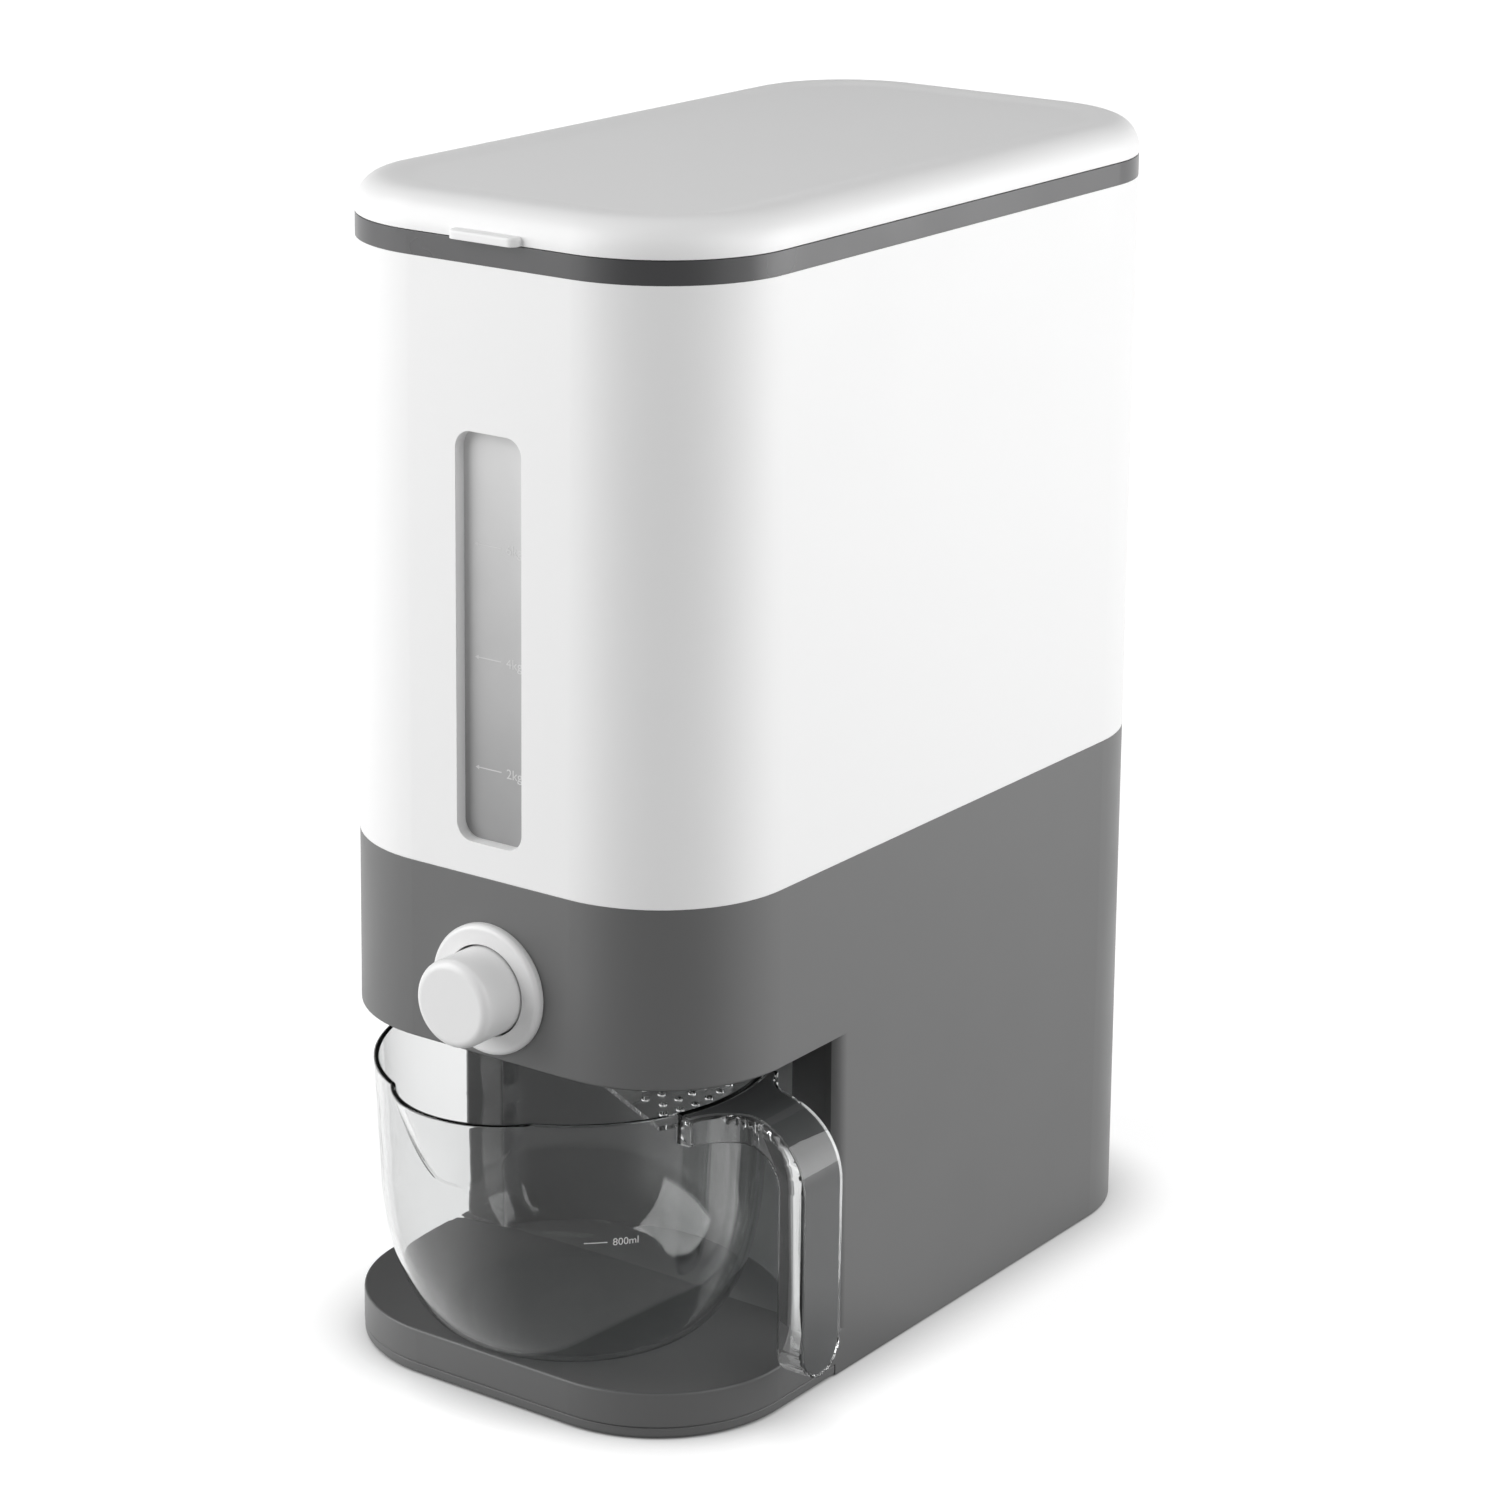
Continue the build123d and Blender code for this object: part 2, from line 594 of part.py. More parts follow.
def make_push_rod():
    rod_front = button_front + BUTTON_FACE + ROD_SEAT
    rod = along_y(ROD_RADIUS, rod_front, lug_front, button_z)
    return rod - along_y(SCREW_RADIUS + SNUG, lug_front - SCREW_LENGTH, lug_front + CUT_OVER, button_z)


def make_rod_screw():
    head = along_y(SCREW_HEAD_RADIUS, lug_back, lug_back + SCREW_HEAD, button_z)
    return head + along_y(SCREW_RADIUS, lug_back - SCREW_LENGTH, lug_back, button_z)


# ---------------------------------------------------------------- button, bezel and spring
def make_button_cap():
    cap = along_y(BUTTON_RADIUS, button_front, button_back, button_z)
    cap = fillet(cap.faces().sort_by(Axis.Y)[0].edges(), BUTTON_ROUNDING)
    inner = BUTTON_RADIUS - BUTTON_WALL
    face_back = button_front + BUTTON_FACE
    flange = BUTTON_RADIUS + BEZEL_BORE_GAP + BEZEL_SLEEVE_WALL - SEAM
    cap += along_y(flange, button_back, button_back + BUTTON_FLANGE, button_z)
    cap -= along_y(inner, face_back, button_back + BUTTON_FLANGE + CUT_OVER, button_z)
    cap += along_y(BUTTON_HUB_RADIUS, face_back - CUT_OVER, face_back + BUTTON_HUB_LENGTH, button_z)
    return cap - along_y(
        ROD_RADIUS + SNUG, face_back + ROD_SEAT, face_back + BUTTON_HUB_LENGTH + CUT_OVER, button_z
    )


def make_button_bezel():
    bore = BUTTON_RADIUS + BEZEL_BORE_GAP
    disc = along_y(BEZEL_RADIUS, bezel_front, front_y + WALL, button_z)
    disc = fillet(disc.faces().sort_by(Axis.Y)[0].edges(), BEZEL_ROUNDING)
    disc -= block(head_underside, shell_joint)
    bezel = disc + along_y(bore + BEZEL_SLEEVE_WALL, bezel_front + BEZEL_ROUNDING, sleeve_back, button_z)
    bezel -= along_y(bore, bezel_front - CUT_OVER, sleeve_back + CUT_OVER, button_z)
    return bezel


def make_return_spring():
    """Open coil spring between the button's face and the seat on the gate housing."""
    start = button_front + BUTTON_FACE + SEAM + SPRING_WIRE / 2
    length = spring_seat - SEAM - SPRING_WIRE / 2 - start
    helix = Helix(
        length / SPRING_TURNS, length, SPRING_RADIUS, center=(0, start, button_z), direction=(0, 1, 0)
    )
    section = Plane(helix @ 0, z_dir=helix % 0) * Circle(SPRING_WIRE / 2)
    return sweep(section, path=helix, is_frenet=True)


# ---------------------------------------------------------------- lid
def s_curve(start, end):
    """Two equal arcs from one point to another, level at both ends."""
    middle = ((start[0] + end[0]) / 2, (start[1] + end[1]) / 2)
    first = TangentArc(start, middle, tangent=(1, 0))
    return [first, TangentArc(middle, end, tangent=first % 1)]


def lid_profile():
    """Section of the lid's rim: x is the inset from the body's outline, y the height over its edge."""
    straight = LID_RISE - LID_ROUND
    crest = LID_ROUND + CREST_WIDTH
    dish = crest + DISH_WIDTH
    low = LID_RISE - DISH_DEPTH
    inner = LID_ROUND - WALL
    upper = [
        Line((0, 0), (0, straight)),
        TangentArc((0, straight), (LID_ROUND, LID_RISE), tangent=(0, 1)),
        Line((LID_ROUND, LID_RISE), (crest, LID_RISE)),
        *s_curve((crest, LID_RISE), (dish, low)),
    ]
    closing = [
        Line((dish, low), (dish, low - WALL)),
        *s_curve((crest, LID_RISE - WALL), (dish, low - WALL)),
        Line((LID_ROUND, LID_RISE - WALL), (crest, LID_RISE - WALL)),
        TangentArc((WALL, straight), (WALL + inner, LID_RISE - WALL), tangent=(0, 1)),
        Line((WALL, 0), (WALL, straight)),
        Line((0, 0), (WALL, 0)),
    ]
    return make_face(upper + closing)


def make_lid_shell():
    path = outline(lid_bottom).face().outer_wire()
    start = path @ 0
    ahead = path % 0
    inwards = Vector(0, 0, 1).cross(ahead)
    if inwards.dot(-start) < 0:
        inwards = -inwards
    plane = Plane(start, x_dir=inwards, z_dir=inwards.cross(Vector(0, 0, 1)))
    lid = sweep(plane * lid_profile(), path=path)

    dish_inset = LID_ROUND + CREST_WIDTH + DISH_WIDTH
    dish_top = lid_bottom + LID_RISE - DISH_DEPTH
    panel = Pos(0, 0, dish_top - WALL - lid_bottom) * outline(lid_bottom, dish_inset)
    lid += extrude(panel, WALL)

    for x, y in lid_screw_places:
        lid += upright(LID_BOSS_RADIUS, x, y, lid_bottom + SLIP + LID_PLATE, dish_top - WALL / 2)
        lid -= upright(SCREW_RADIUS + SNUG, x, y, lid_bottom, dish_top - WALL)

    front = -half_depth(lid_bottom)
    tab = RectangleRounded(TAB_WIDTH, 2 * TAB_DEPTH, TAB_CORNER)
    tab = extrude(Pos(0, front, lid_bottom) * tab, TAB_HEIGHT)
    tab = fillet(tab.faces().sort_by(Axis.Z)[-1].edges(), EDGE_SOFTENING)
    lid += tab - box(-BODY_WIDTH, BODY_WIDTH, front + WALL, 0, 0, 2 * trim_top)

    knuckle = KNUCKLE_WIDTH / 2
    back = half_depth(lid_bottom)
    lid += box(-knuckle, knuckle, back - WALL, hinge_y, lid_bottom, hinge_z + HINGE_RADIUS)
    lid += along_x(HINGE_RADIUS, -knuckle, knuckle, hinge_y, hinge_z)
    return lid - along_x(PIN_RADIUS + RUNNING, -knuckle - CUT_OVER, knuckle + CUT_OVER, hinge_y, hinge_z)


def make_lid_inner_plate():
    low = lid_bottom + SLIP
    plate = block(low, low + LID_PLATE, WALL + LID_PLATE_GAP)
    seal_in = bin_inner_inset + SEAM + SEAL_WIDTH
    bottom = low - PLUG_DEPTH
    plate += ring(bottom, low + SLIP, seal_in, seal_in + PLUG_WALL)
    for z in (bottom, bottom + SEAL_RIM + SEAL_HEIGHT):
        plate += ring(z, z + SEAL_RIM, seal_in - SEAL_WIDTH + 2 * SEAM, seal_in + SLIP)
    for x, y in lid_screw_places:
        plate -= upright(SCREW_RADIUS + SLIP, x, y, bottom, low + 2 * LID_PLATE)
    return plate


def make_lid_seal():
    seal_out = bin_inner_inset + SEAM
    low = lid_bottom + SLIP - PLUG_DEPTH + SEAL_RIM
    return ring(low, low + SEAL_HEIGHT, seal_out, seal_out + SEAL_WIDTH)


def make_lid_screws():
    return Part() + [screw(x, y, lid_bottom + SLIP, False) for x, y in lid_screw_places]


def make_hinge_pin():
    half = KNUCKLE_WIDTH / 2 + SEAM + EAR_WIDTH
    return along_x(PIN_RADIUS, -half, half, hinge_y, hinge_z)


# ---------------------------------------------------------------- cup
def bowl_form(wall):
    """Solid of the bowl and its pouring lip, drawn in by a wall thickness."""
    centre_x = CUP_FOOT_RADIUS
    centre_z = cup_bottom + CUP_BOWL_HEIGHT
    across = CUP_WALL_RADIUS - CUP_FOOT_RADIUS - wall
    down = CUP_BOWL_HEIGHT - wall
    top = cup_rim_z + (CUT_OVER if wall else 0)
    lean = (CUP_RIM_RADIUS - CUP_WALL_RADIUS) / (cup_rim_z - centre_z)
    rim = centre_x + across + lean * (top - centre_z)
    half = make_face([
        EllipticalCenterArc((centre_x, centre_z), across, down, start_angle=-90, arc_size=90),
        Line((centre_x + across, centre_z), (rim, top)),
        Line((rim, top), (0, top)),
        Line((0, top), (0, centre_z - down)),
        Line((0, centre_z - down), (centre_x, centre_z - down)),
    ])
    bowl = revolve(Plane.XZ * half, Axis.Z)

    lip_y = SPOUT_RADIUS - CUP_RIM_RADIUS - SPOUT_REACH
    toe_y = SPOUT_TOE_RADIUS - CUP_WALL_RADIUS
    spread = (SPOUT_RADIUS - SPOUT_TOE_RADIUS) / SPOUT_DEPTH
    shift = (lip_y - toe_y) / SPOUT_DEPTH
    over = top - cup_rim_z
    lip = Pos(0, lip_y + shift * over, top) * Circle(SPOUT_RADIUS + spread * over - wall)
    toe = Pos(0, toe_y, cup_rim_z - SPOUT_DEPTH) * Circle(SPOUT_TOE_RADIUS - wall)
    return Pos(0, cup_y, 0) * (bowl + loft([toe, lip]))


def make_measuring_cup():
    cup = bowl_form(0) - bowl_form(CUP_WALL)
    rim = edges_near(cup, lambda c, e: abs(c.Z - cup_rim_z) < SNUG)
    return fillet(rim, CUP_RIM_ROUNDING)


def make_cup_strainer():
    half = math.radians(STRAINER_ANGLE / 2)
    reach = CUP_RIM_RADIUS + SPOUT_REACH
    low = strainer_top - STRAINER_THICKNESS
    sector = Polygon(
        (0, 0), (reach, -reach * math.tan(half)), (reach, reach * math.tan(half)), align=None
    )
    plan = sector - Circle(STRAINER_INNER_RADIUS)
    edge = CUP_WALL_RADIUS - STRAINER_ROW_STEP
    radius = STRAINER_INNER_RADIUS + STRAINER_ROW_STEP
    row = 0
    while radius <= edge:
        count = int(2 * half * radius / STRAINER_HOLE_STEP) - row % 2
        step = STRAINER_HOLE_STEP / radius
        for i in range(count):
            angle = (i - (count - 1) / 2) * step
            plan -= Pos(radius * math.cos(angle), radius * math.sin(angle)) * Circle(STRAINER_HOLE_RADIUS)
        radius += STRAINER_ROW_STEP
        row += 1
    plate = extrude(Pos(0, cup_y, low) * plan, STRAINER_THICKNESS)
    return plate & bowl_form(CUP_WALL)


# ---------------------------------------------------------------- cup handle
def handle_side(out, depth):
    """Side view band of the handle, its outer face set back by out and its depth as given."""
    x = handle_x - out
    z = handle_top - out
    turn = HANDLE_BEND - out
    start = CUP_FOOT_RADIUS
    end = handle_end - HANDLE_DEPTH
    inner_turn = max(turn - depth, SNUG)
    inner_x = x - depth
    inner_z = z - depth
    return make_face([
        Line((start, z), (x - turn, z)),
        TangentArc((x - turn, z), (x, z - turn), tangent=(1, 0)),
        Line((x, z - turn), (x, end)),
        Line((x, end), (inner_x, end)),
        Line((inner_x, end), (inner_x, inner_z - inner_turn)),
        TangentArc((inner_x - inner_turn, inner_z), (inner_x, inner_z - inner_turn), tangent=(1, 0)),
        Line((inner_x - inner_turn, inner_z), (start, inner_z)),
        Line((start, inner_z), (start, z)),
    ])


def handle_form(out, side, depth):
    """Handle envelope: side band, flared plan and rounded end, drawn in by out and side."""
    half = HANDLE_WIDTH / 2 - side
    root = HANDLE_ROOT_WIDTH / 2 - side
    flare_end = CUP_RIM_RADIUS + HANDLE_FLARE
    start = CUP_FOOT_RADIUS
    band = extrude(Plane.XZ * handle_side(out, depth), HANDLE_ROOT_WIDTH, both=True)
    edges = []
    for s in (-1, 1):
        edges += [
            Line((start, s * root), (CUP_RIM_RADIUS, s * root)),
            TangentArc((flare_end, s * half), (CUP_RIM_RADIUS, s * root), tangent=(-1, 0)),
            Line((flare_end, s * half), (handle_x + CUT_OVER, s * half)),
        ]
    edges += [Line((x, -w), (x, w)) for x, w in ((start, root), (handle_x + CUT_OVER, half))]
    plan = extrude(make_face(edges), handle_top + CUT_OVER)
    centre_z = handle_end + HANDLE_WIDTH / 2
    end = Pos(0, (handle_top + CUT_OVER + centre_z) / 2) * Rectangle(
        2 * HANDLE_ROOT_WIDTH, handle_top + CUT_OVER - centre_z
    )
    end += Pos(0, centre_z) * Circle(half)
    end = extrude(Plane.YZ * end, handle_x + CUT_OVER)
    return Pos(0, cup_y, 0) * (band & plan & end)


def make_cup_handle():
    handle = handle_form(0, 0, HANDLE_DEPTH) - handle_form(HANDLE_WEB, HANDLE_FLANGE, HANDLE_DEPTH)
    ceiling = handle_top - HANDLE_WEB
    half = HANDLE_WIDTH / 2 - HANDLE_FLANGE / 2
    for i in range(HANDLE_RIBS):
        x = CUP_RIM_RADIUS + (i + 1) * HANDLE_RIB_STEP
        rib = box(
            x, x + HANDLE_RIB, cup_y - half, cup_y + half, ceiling - HANDLE_RIB_HEIGHT, ceiling + HANDLE_RIB
        )
        handle += rib & handle_form(0, 0, HANDLE_DEPTH)
    return handle - bowl_form(0)


# ---------------------------------------------------------------- write every piece
pieces = {
    "base_housing": make_base_housing,
    "base_plate": make_base_plate,
    "rubber_feet": make_rubber_feet,
    "base_screws": make_base_screws,
    "upper_shell": make_upper_shell,
    "window_pane": make_window_pane,
    "top_trim": make_top_trim,
    "inner_bin": make_inner_bin,
    "neck_gasket": make_neck_gasket,
    "gate_housing": make_gate_housing,
    "track_screws": make_track_screws,
    "outlet_chute": make_outlet_chute,
    "gate_plate": make_gate_plate,
    "push_rod": make_push_rod,
    "rod_screw": make_rod_screw,
    "button_cap": make_button_cap,
    "button_bezel": make_button_bezel,
    "return_spring": make_return_spring,
    "lid_shell": make_lid_shell,
    "lid_inner_plate": make_lid_inner_plate,
    "lid_seal": make_lid_seal,
    "lid_screws": make_lid_screws,
    "hinge_pin": make_hinge_pin,
    "measuring_cup": make_measuring_cup,
    "cup_strainer": make_cup_strainer,
    "cup_handle": make_cup_handle,
}

for name, make in pieces.items():
    export_step(make(), f"parts/{name}.step")
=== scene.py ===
"""Looks of a rice dispenser: moulded plastics, a marked window and a clear cup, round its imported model.

Frame: metres, +Z up, Z = 0 on the floor, X = 0 and Y = 0 at the body's centre, front at -Y.
Sizes are written in millimetres and multiplied by MM.
"""
import json
import math

import bmesh
import bpy
from mathutils import Matrix, Vector


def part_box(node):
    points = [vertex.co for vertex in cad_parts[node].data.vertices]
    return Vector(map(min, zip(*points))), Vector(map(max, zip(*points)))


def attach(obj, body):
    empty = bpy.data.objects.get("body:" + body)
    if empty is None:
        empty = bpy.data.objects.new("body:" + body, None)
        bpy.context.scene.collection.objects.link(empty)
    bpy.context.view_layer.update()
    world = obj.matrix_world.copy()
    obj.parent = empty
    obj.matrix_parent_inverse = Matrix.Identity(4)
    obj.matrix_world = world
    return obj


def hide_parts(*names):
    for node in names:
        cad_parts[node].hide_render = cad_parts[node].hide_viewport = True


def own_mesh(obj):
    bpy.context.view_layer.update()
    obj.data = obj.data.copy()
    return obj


MM = 0.001

# ---------------------------------------------------------------- camera
CAMERA_PLACE = (947.7, -1335.4, 746.8)
CAMERA_YAW = 35.46              # degrees to the left of +Y
CAMERA_PITCH = 17.74            # degrees downwards
CAMERA_ROLL = 0.63
CAMERA_FOCAL = 101.2            # millimetres on the sensor below
CAMERA_SENSOR = 36.0

# ---------------------------------------------------------------- body
DRAFT = math.tan(math.radians(0.5))
# bounds of the painted shade in the cup's bay, in the housing's own coordinates
BAY_FRONT = -200.0              # anywhere ahead of the housing
BAY_REAR = -76.5                # just behind the bay's rear wall
BAY_BOTTOM = 19.4               # just under the bay's floor
BAY_FLOOR = 19.9                # just over it
BAY_TOP = 144.2
BAY_FLOOR_SHADE = 0.5           # the floor's share of the walls' painted shade
BAY_ROUGHNESS = 0.8

# ---------------------------------------------------------------- studio, in metres; a radiance of 1 is white
FLOOR_REACH = 6.0
FLOOR_COLOUR = (0.50, 0.50, 0.50)
FLOOR_LIFT = 0.72
FLOOR_LIFT_FAR = 1.0
FLOOR_NEAR = 0.6                # distances from the object between which the lift grows
FLOOR_FAR = 1.6
CONTACT_REACH = 0.03            # how near the object the lift starts to go down
CONTACT_POWER = 1.3
DARK_SIDE = (0.58, -0.81, 0.0)  # direction of the dark side of the room, seen from the object
DARK_FROM = 0.62                # cosines of the angles from it between which the white comes back
DARK_FULL = 0.88
DARK_SHARE = 0.05               # what stays of the white there
FILL = 0.26
CEILING = 0.04
BACKDROP_FULL = 0.10            # sines of the heights at which the backdrop starts to fade, and ends
BACKDROP_END = 0.35
SOFTBOX_AIM = (0, 0, 0.25)
SOFTBOXES = (
    # name, place, width, height, radiance
    ("softbox_front", (-1.35, -1.35, 1.05), 1.8, 1.8, 4.05),
    ("softbox_back", (1.5, 1.2, 0.6), 1.3, 1.2, 3.4),
    ("softbox_side", (1.75, -0.05, 1.25), 1.5, 1.5, 2.45),
)

# ---------------------------------------------------------------- surfaces
NOISE_LOW = 0.3                 # most of a noise lies between these
NOISE_HIGH = 0.7
PATCH_SIZE = 45.0               # broad patches in a plastic's colour and gloss
GLOSS_SPREAD = 0.04
STREAK_SPREAD = 0.06
WAVE_SIZE = 22.0                # flow waviness of the clear plastic
WAVE_DEPTH = 0.05
CLOUD_SIZE = 30.0               # drift of the painted light on the frosted pane
CLOUD_SHIFT = 6.0

# ---------------------------------------------------------------- window marks
MARK_LEVELS = ((31.0, "2"), (74.0, "4"), (117.5, "6"))     # height above the pane's lower edge, kilograms
MARK_UNIT = "kg"
MARK_HEAD = 1.7                 # arrowhead at the left end: length and half its height
MARK_HEAD_HALF = 0.9
MARK_LEFT = -10.5               # ends of a tick, from the middle of the pane
MARK_RIGHT = 2.0
MARK_THICKNESS = 0.45
MARK_NUMBER_X = 4.3
MARK_NUMBER_SIZE = 5.4
MARK_RELIEF = 0.12
FIGURE_DROP = 0.35              # half a figure's height, as a share of the type size

# ---------------------------------------------------------------- cup, about its own axis
CUP_WALL = 2.2
CUP_FOOT_RADIUS = 46.5
CUP_WALL_RADIUS = 76.0
CUP_RIM_RADIUS = 78.0
CUP_BOWL_HEIGHT = 67.0
CUP_RIM_ROUNDING = 0.9
BOTTOM_RINGS = (0.35, 0.7)      # rings of vertices in the flat bottom, as shares of its radius
CURVE_ROWS = 40                 # rows of faces up the curved part, the straight part and round the rim
WALL_ROWS = 48
RIM_ROWS = 8
SPOUT_RADIUS = 44.5
SPOUT_REACH = 8.85
SPOUT_DEPTH = 31.0
SPOUT_TOE_RADIUS = 28.0
SPOUT_FOLD = 1.1                # step under the lip, which fades out towards the rim
SPOUT_BLEND = 0.12              # softness of the crease round the lip
SPOUT_SIDE = 40                 # degrees to either side with close spokes
ROOT_OVERLAP = 1.1              # how far the handle's root is let into the bowl's wall
ROOT_NEAR = 0.25                # how near the wall a vertex of the root lies
WELD = 0.002
CUP_SHARP_ANGLE = 32            # degrees between two faces from which their edge stays sharp
CUP_MARK_RISE = 62.1            # above the cup's foot
CUP_MARK_START = 40.9           # degrees from the spout towards the handle
CUP_MARK_LENGTH = 9.0
CUP_NUMBER = "800ml"
CUP_NUMBER_SIZE = 4.2
CUP_NUMBER_GAP = 2.0
CUP_MARK_WIDTH = 0.4
MOULD_DOT_SIZE = 7.0
MOULD_DOT_START = 37.0          # degrees, as for the mark
MOULD_DOT_RISE = 41.0
HANDLE_HALF = 12.5
HANDLE_BEND = 29.0
ROOT_HALF = 29.0                # half the handle's width at the rim
FLARE_END = 100.0               # distance from the cup's axis where that width has come down
INLAY_BORDER = 1.3              # clear edge round the grey inlay
INLAY_SINK = 0.45               # clear plastic over it
INLAY_THICKNESS = 0.6
INLAY_SPOKES = 12               # faces across each half
INLAY_TOP_ROWS = 10             # rows of faces along the top, the bend and the rounded end
INLAY_BEND_ROWS = 24
INLAY_END_ROWS = 12
INLAY_END_TURN = 88             # degrees of the rounded end; the last row keeps a little width
INLAY_SHARP_ANGLE = 40

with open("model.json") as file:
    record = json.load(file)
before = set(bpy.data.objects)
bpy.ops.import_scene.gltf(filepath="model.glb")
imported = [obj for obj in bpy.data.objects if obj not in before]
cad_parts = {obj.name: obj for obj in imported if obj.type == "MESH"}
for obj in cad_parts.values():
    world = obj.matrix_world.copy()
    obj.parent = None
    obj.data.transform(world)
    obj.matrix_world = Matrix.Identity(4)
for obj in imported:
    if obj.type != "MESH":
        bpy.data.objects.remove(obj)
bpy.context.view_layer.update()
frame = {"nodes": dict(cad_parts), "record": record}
nodes = frame["nodes"]
pane_low, pane_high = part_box("window_pane")
cup_low, cup_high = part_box("measuring_cup")
CUP_BOTTOM = cup_low.z / MM
CUP_RIM = cup_high.z / MM
CUP_Y = cup_high.y / MM - CUP_RIM_RADIUS
handle_low, handle_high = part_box("cup_handle")
HANDLE_X = handle_high.x / MM
HANDLE_END = handle_low.z / MM
CUP_MARK_Z = CUP_BOTTOM + CUP_MARK_RISE


# ---------------------------------------------------------------- small helpers
def node(tree, kind, inputs=None, **settings):
    """Adds a shader node; an input is a value or another node's output."""
    made = tree.nodes.new(kind)
    for key, value in settings.items():
        setattr(made, key, value)
    for key, value in (inputs or {}).items():
        if isinstance(value, bpy.types.NodeSocket):
            tree.links.new(value, made.inputs[key])
        else:
            made.inputs[key].default_value = value
    return made


def new_material(name):
    """An empty node material and its output."""
    material = bpy.data.materials.new(name)
    material.use_nodes = True
    material.node_tree.nodes.clear()
    return material, material.node_tree, node(material.node_tree, "ShaderNodeOutputMaterial")


def noise(tree, size, detail=2.0):
    """Noise in the object's own coordinates, with features of about the given size in millimetres."""
    place = node(tree, "ShaderNodeTexCoord").outputs["Object"]
    return node(
        tree, "ShaderNodeTexNoise", {"Vector": place, "Scale": 1 / (size * MM), "Detail": detail}
    ).outputs["Fac"]


def between(tree, factor, low, high):
    """A number that follows a noise from low to high."""
    return node(tree, "ShaderNodeMapRange", {
        "Value": factor, "From Min": NOISE_LOW, "From Max": NOISE_HIGH, "To Min": low, "To Max": high,
    }).outputs["Result"]


def shades(tree, factor, low, high):
    """A colour that follows a noise between two colours."""
    mix = node(tree, "ShaderNodeMix", data_type="RGBA")
    tree.links.new(factor, mix.inputs[0])
    mix.inputs[6].default_value = (*low, 1)
    mix.inputs[7].default_value = (*high, 1)
    return mix.outputs[2]


def relief(tree, height, depth, edge):
    """Normal of a fine surface relief, with edges that look rounded by a small radius."""
    rounded = node(tree, "ShaderNodeBevel", {"Radius": edge * MM}, samples=4).outputs["Normal"]
    return node(
        tree, "ShaderNodeBump", {"Height": height, "Distance": depth * MM, "Strength": 1.0, "Normal": rounded}
    ).outputs["Normal"]


def math_node(tree, operation, first, second):
    """Result of a two-input math node."""
    return node(tree, "ShaderNodeMath", {0: first, 1: second}, operation=operation).outputs["Value"]


def inside(tree, axis, low, high):
    """1 where the object's own coordinate on an axis lies between two values in millimetres, else 0."""
    place = node(tree, "ShaderNodeTexCoord").outputs["Object"]
    value = node(tree, "ShaderNodeSeparateXYZ", {"Vector": place}).outputs[axis]
    above = math_node(tree, "GREATER_THAN", value, low * MM)
    below = math_node(tree, "LESS_THAN", value, high * MM)
    return math_node(tree, "MULTIPLY", above, below)


# ---------------------------------------------------------------- materials
def plastic(name, colour, roughness, grain=0.6, depth=0.02, spread=0.02, edge=0.4):
    """Moulded plastic: fine eroded grain, faint patches in colour and gloss, edges that look rounded."""
    material, tree, out = new_material(name)
    broad = noise(tree, PATCH_SIZE, 3.0)
    low = [c * (1 - spread) for c in colour]
    high = [min(1.0, c * (1 + spread)) for c in colour]
    shader = node(tree, "ShaderNodeBsdfPrincipled", {
        "Base Color": shades(tree, broad, low, high),
        "Roughness": between(tree, broad, roughness - GLOSS_SPREAD, roughness + GLOSS_SPREAD),
        "Normal": relief(tree, noise(tree, grain), depth, edge),
        "IOR": 1.49,
    })
    tree.links.new(shader.outputs["BSDF"], out.inputs["Surface"])
    return material


def housing_plastic(name, colour, bay_shade_colour, roughness):
    """The housing's grey, darker and rougher on the walls of the cup's bay, and half as much on its floor;
    the darker grey there is painted shade.
    """
    material = plastic(name, colour, roughness, depth=0.008, edge=0.8)
    tree = material.node_tree
    shader = next(n for n in tree.nodes if n.type == "BSDF_PRINCIPLED")
    on_floor = math_node(tree, "MULTIPLY", inside(tree, "Z", BAY_BOTTOM, BAY_FLOOR), BAY_FLOOR_SHADE)
    on_walls = inside(tree, "Z", BAY_FLOOR, BAY_TOP)
    ahead = inside(tree, "Y", BAY_FRONT, BAY_REAR)
    in_bay_shade = math_node(tree, "MULTIPLY", math_node(tree, "ADD", on_floor, on_walls), ahead)
    outer = shader.inputs["Base Color"].links[0].from_socket
    # painted shade: the bay's walls and floor are mixed towards a darker grey
    mix = node(tree, "ShaderNodeMix", data_type="RGBA")
    tree.links.new(in_bay_shade, mix.inputs[0])
    tree.links.new(outer, mix.inputs[6])
    mix.inputs[7].default_value = (*bay_shade_colour, 1)
    tree.links.new(mix.outputs[2], shader.inputs["Base Color"])
    satin = shader.inputs["Roughness"].links[0].from_socket
    rough = node(tree, "ShaderNodeMapRange", {"Value": in_bay_shade, "To Min": satin, "To Max": BAY_ROUGHNESS})
    tree.links.new(rough.outputs["Result"], shader.inputs["Roughness"])
    return material


def clear_plastic(name, colour=(0.86, 0.865, 0.865), roughness=0.015, index=1.45):
    """Clear moulded plastic with a little flow waviness; lamps shine through it."""
    material, tree, out = new_material(name)
    waves = node(
        tree, "ShaderNodeBump", {"Height": noise(tree, WAVE_SIZE), "Distance": WAVE_DEPTH * MM}
    ).outputs["Normal"]
    shader = node(tree, "ShaderNodeBsdfPrincipled", {
        "Base Color": (*colour, 1),
        "Roughness": roughness,
        "IOR": index,
        "Transmission Weight": 1.0,
        "Normal": waves,
    })
    lamp = node(tree, "ShaderNodeBsdfTransparent", {"Color": (0.82, 0.83, 0.83, 1)})
    path = node(tree, "ShaderNodeLightPath")
    mix = node(tree, "ShaderNodeMixShader", {0: path.outputs["Is Shadow Ray"]})
    tree.links.new(shader.outputs["BSDF"], mix.inputs[1])
    tree.links.new(lamp.outputs["BSDF"], mix.inputs[2])
    tree.links.new(mix.outputs["Shader"], out.inputs["Surface"])
    return material


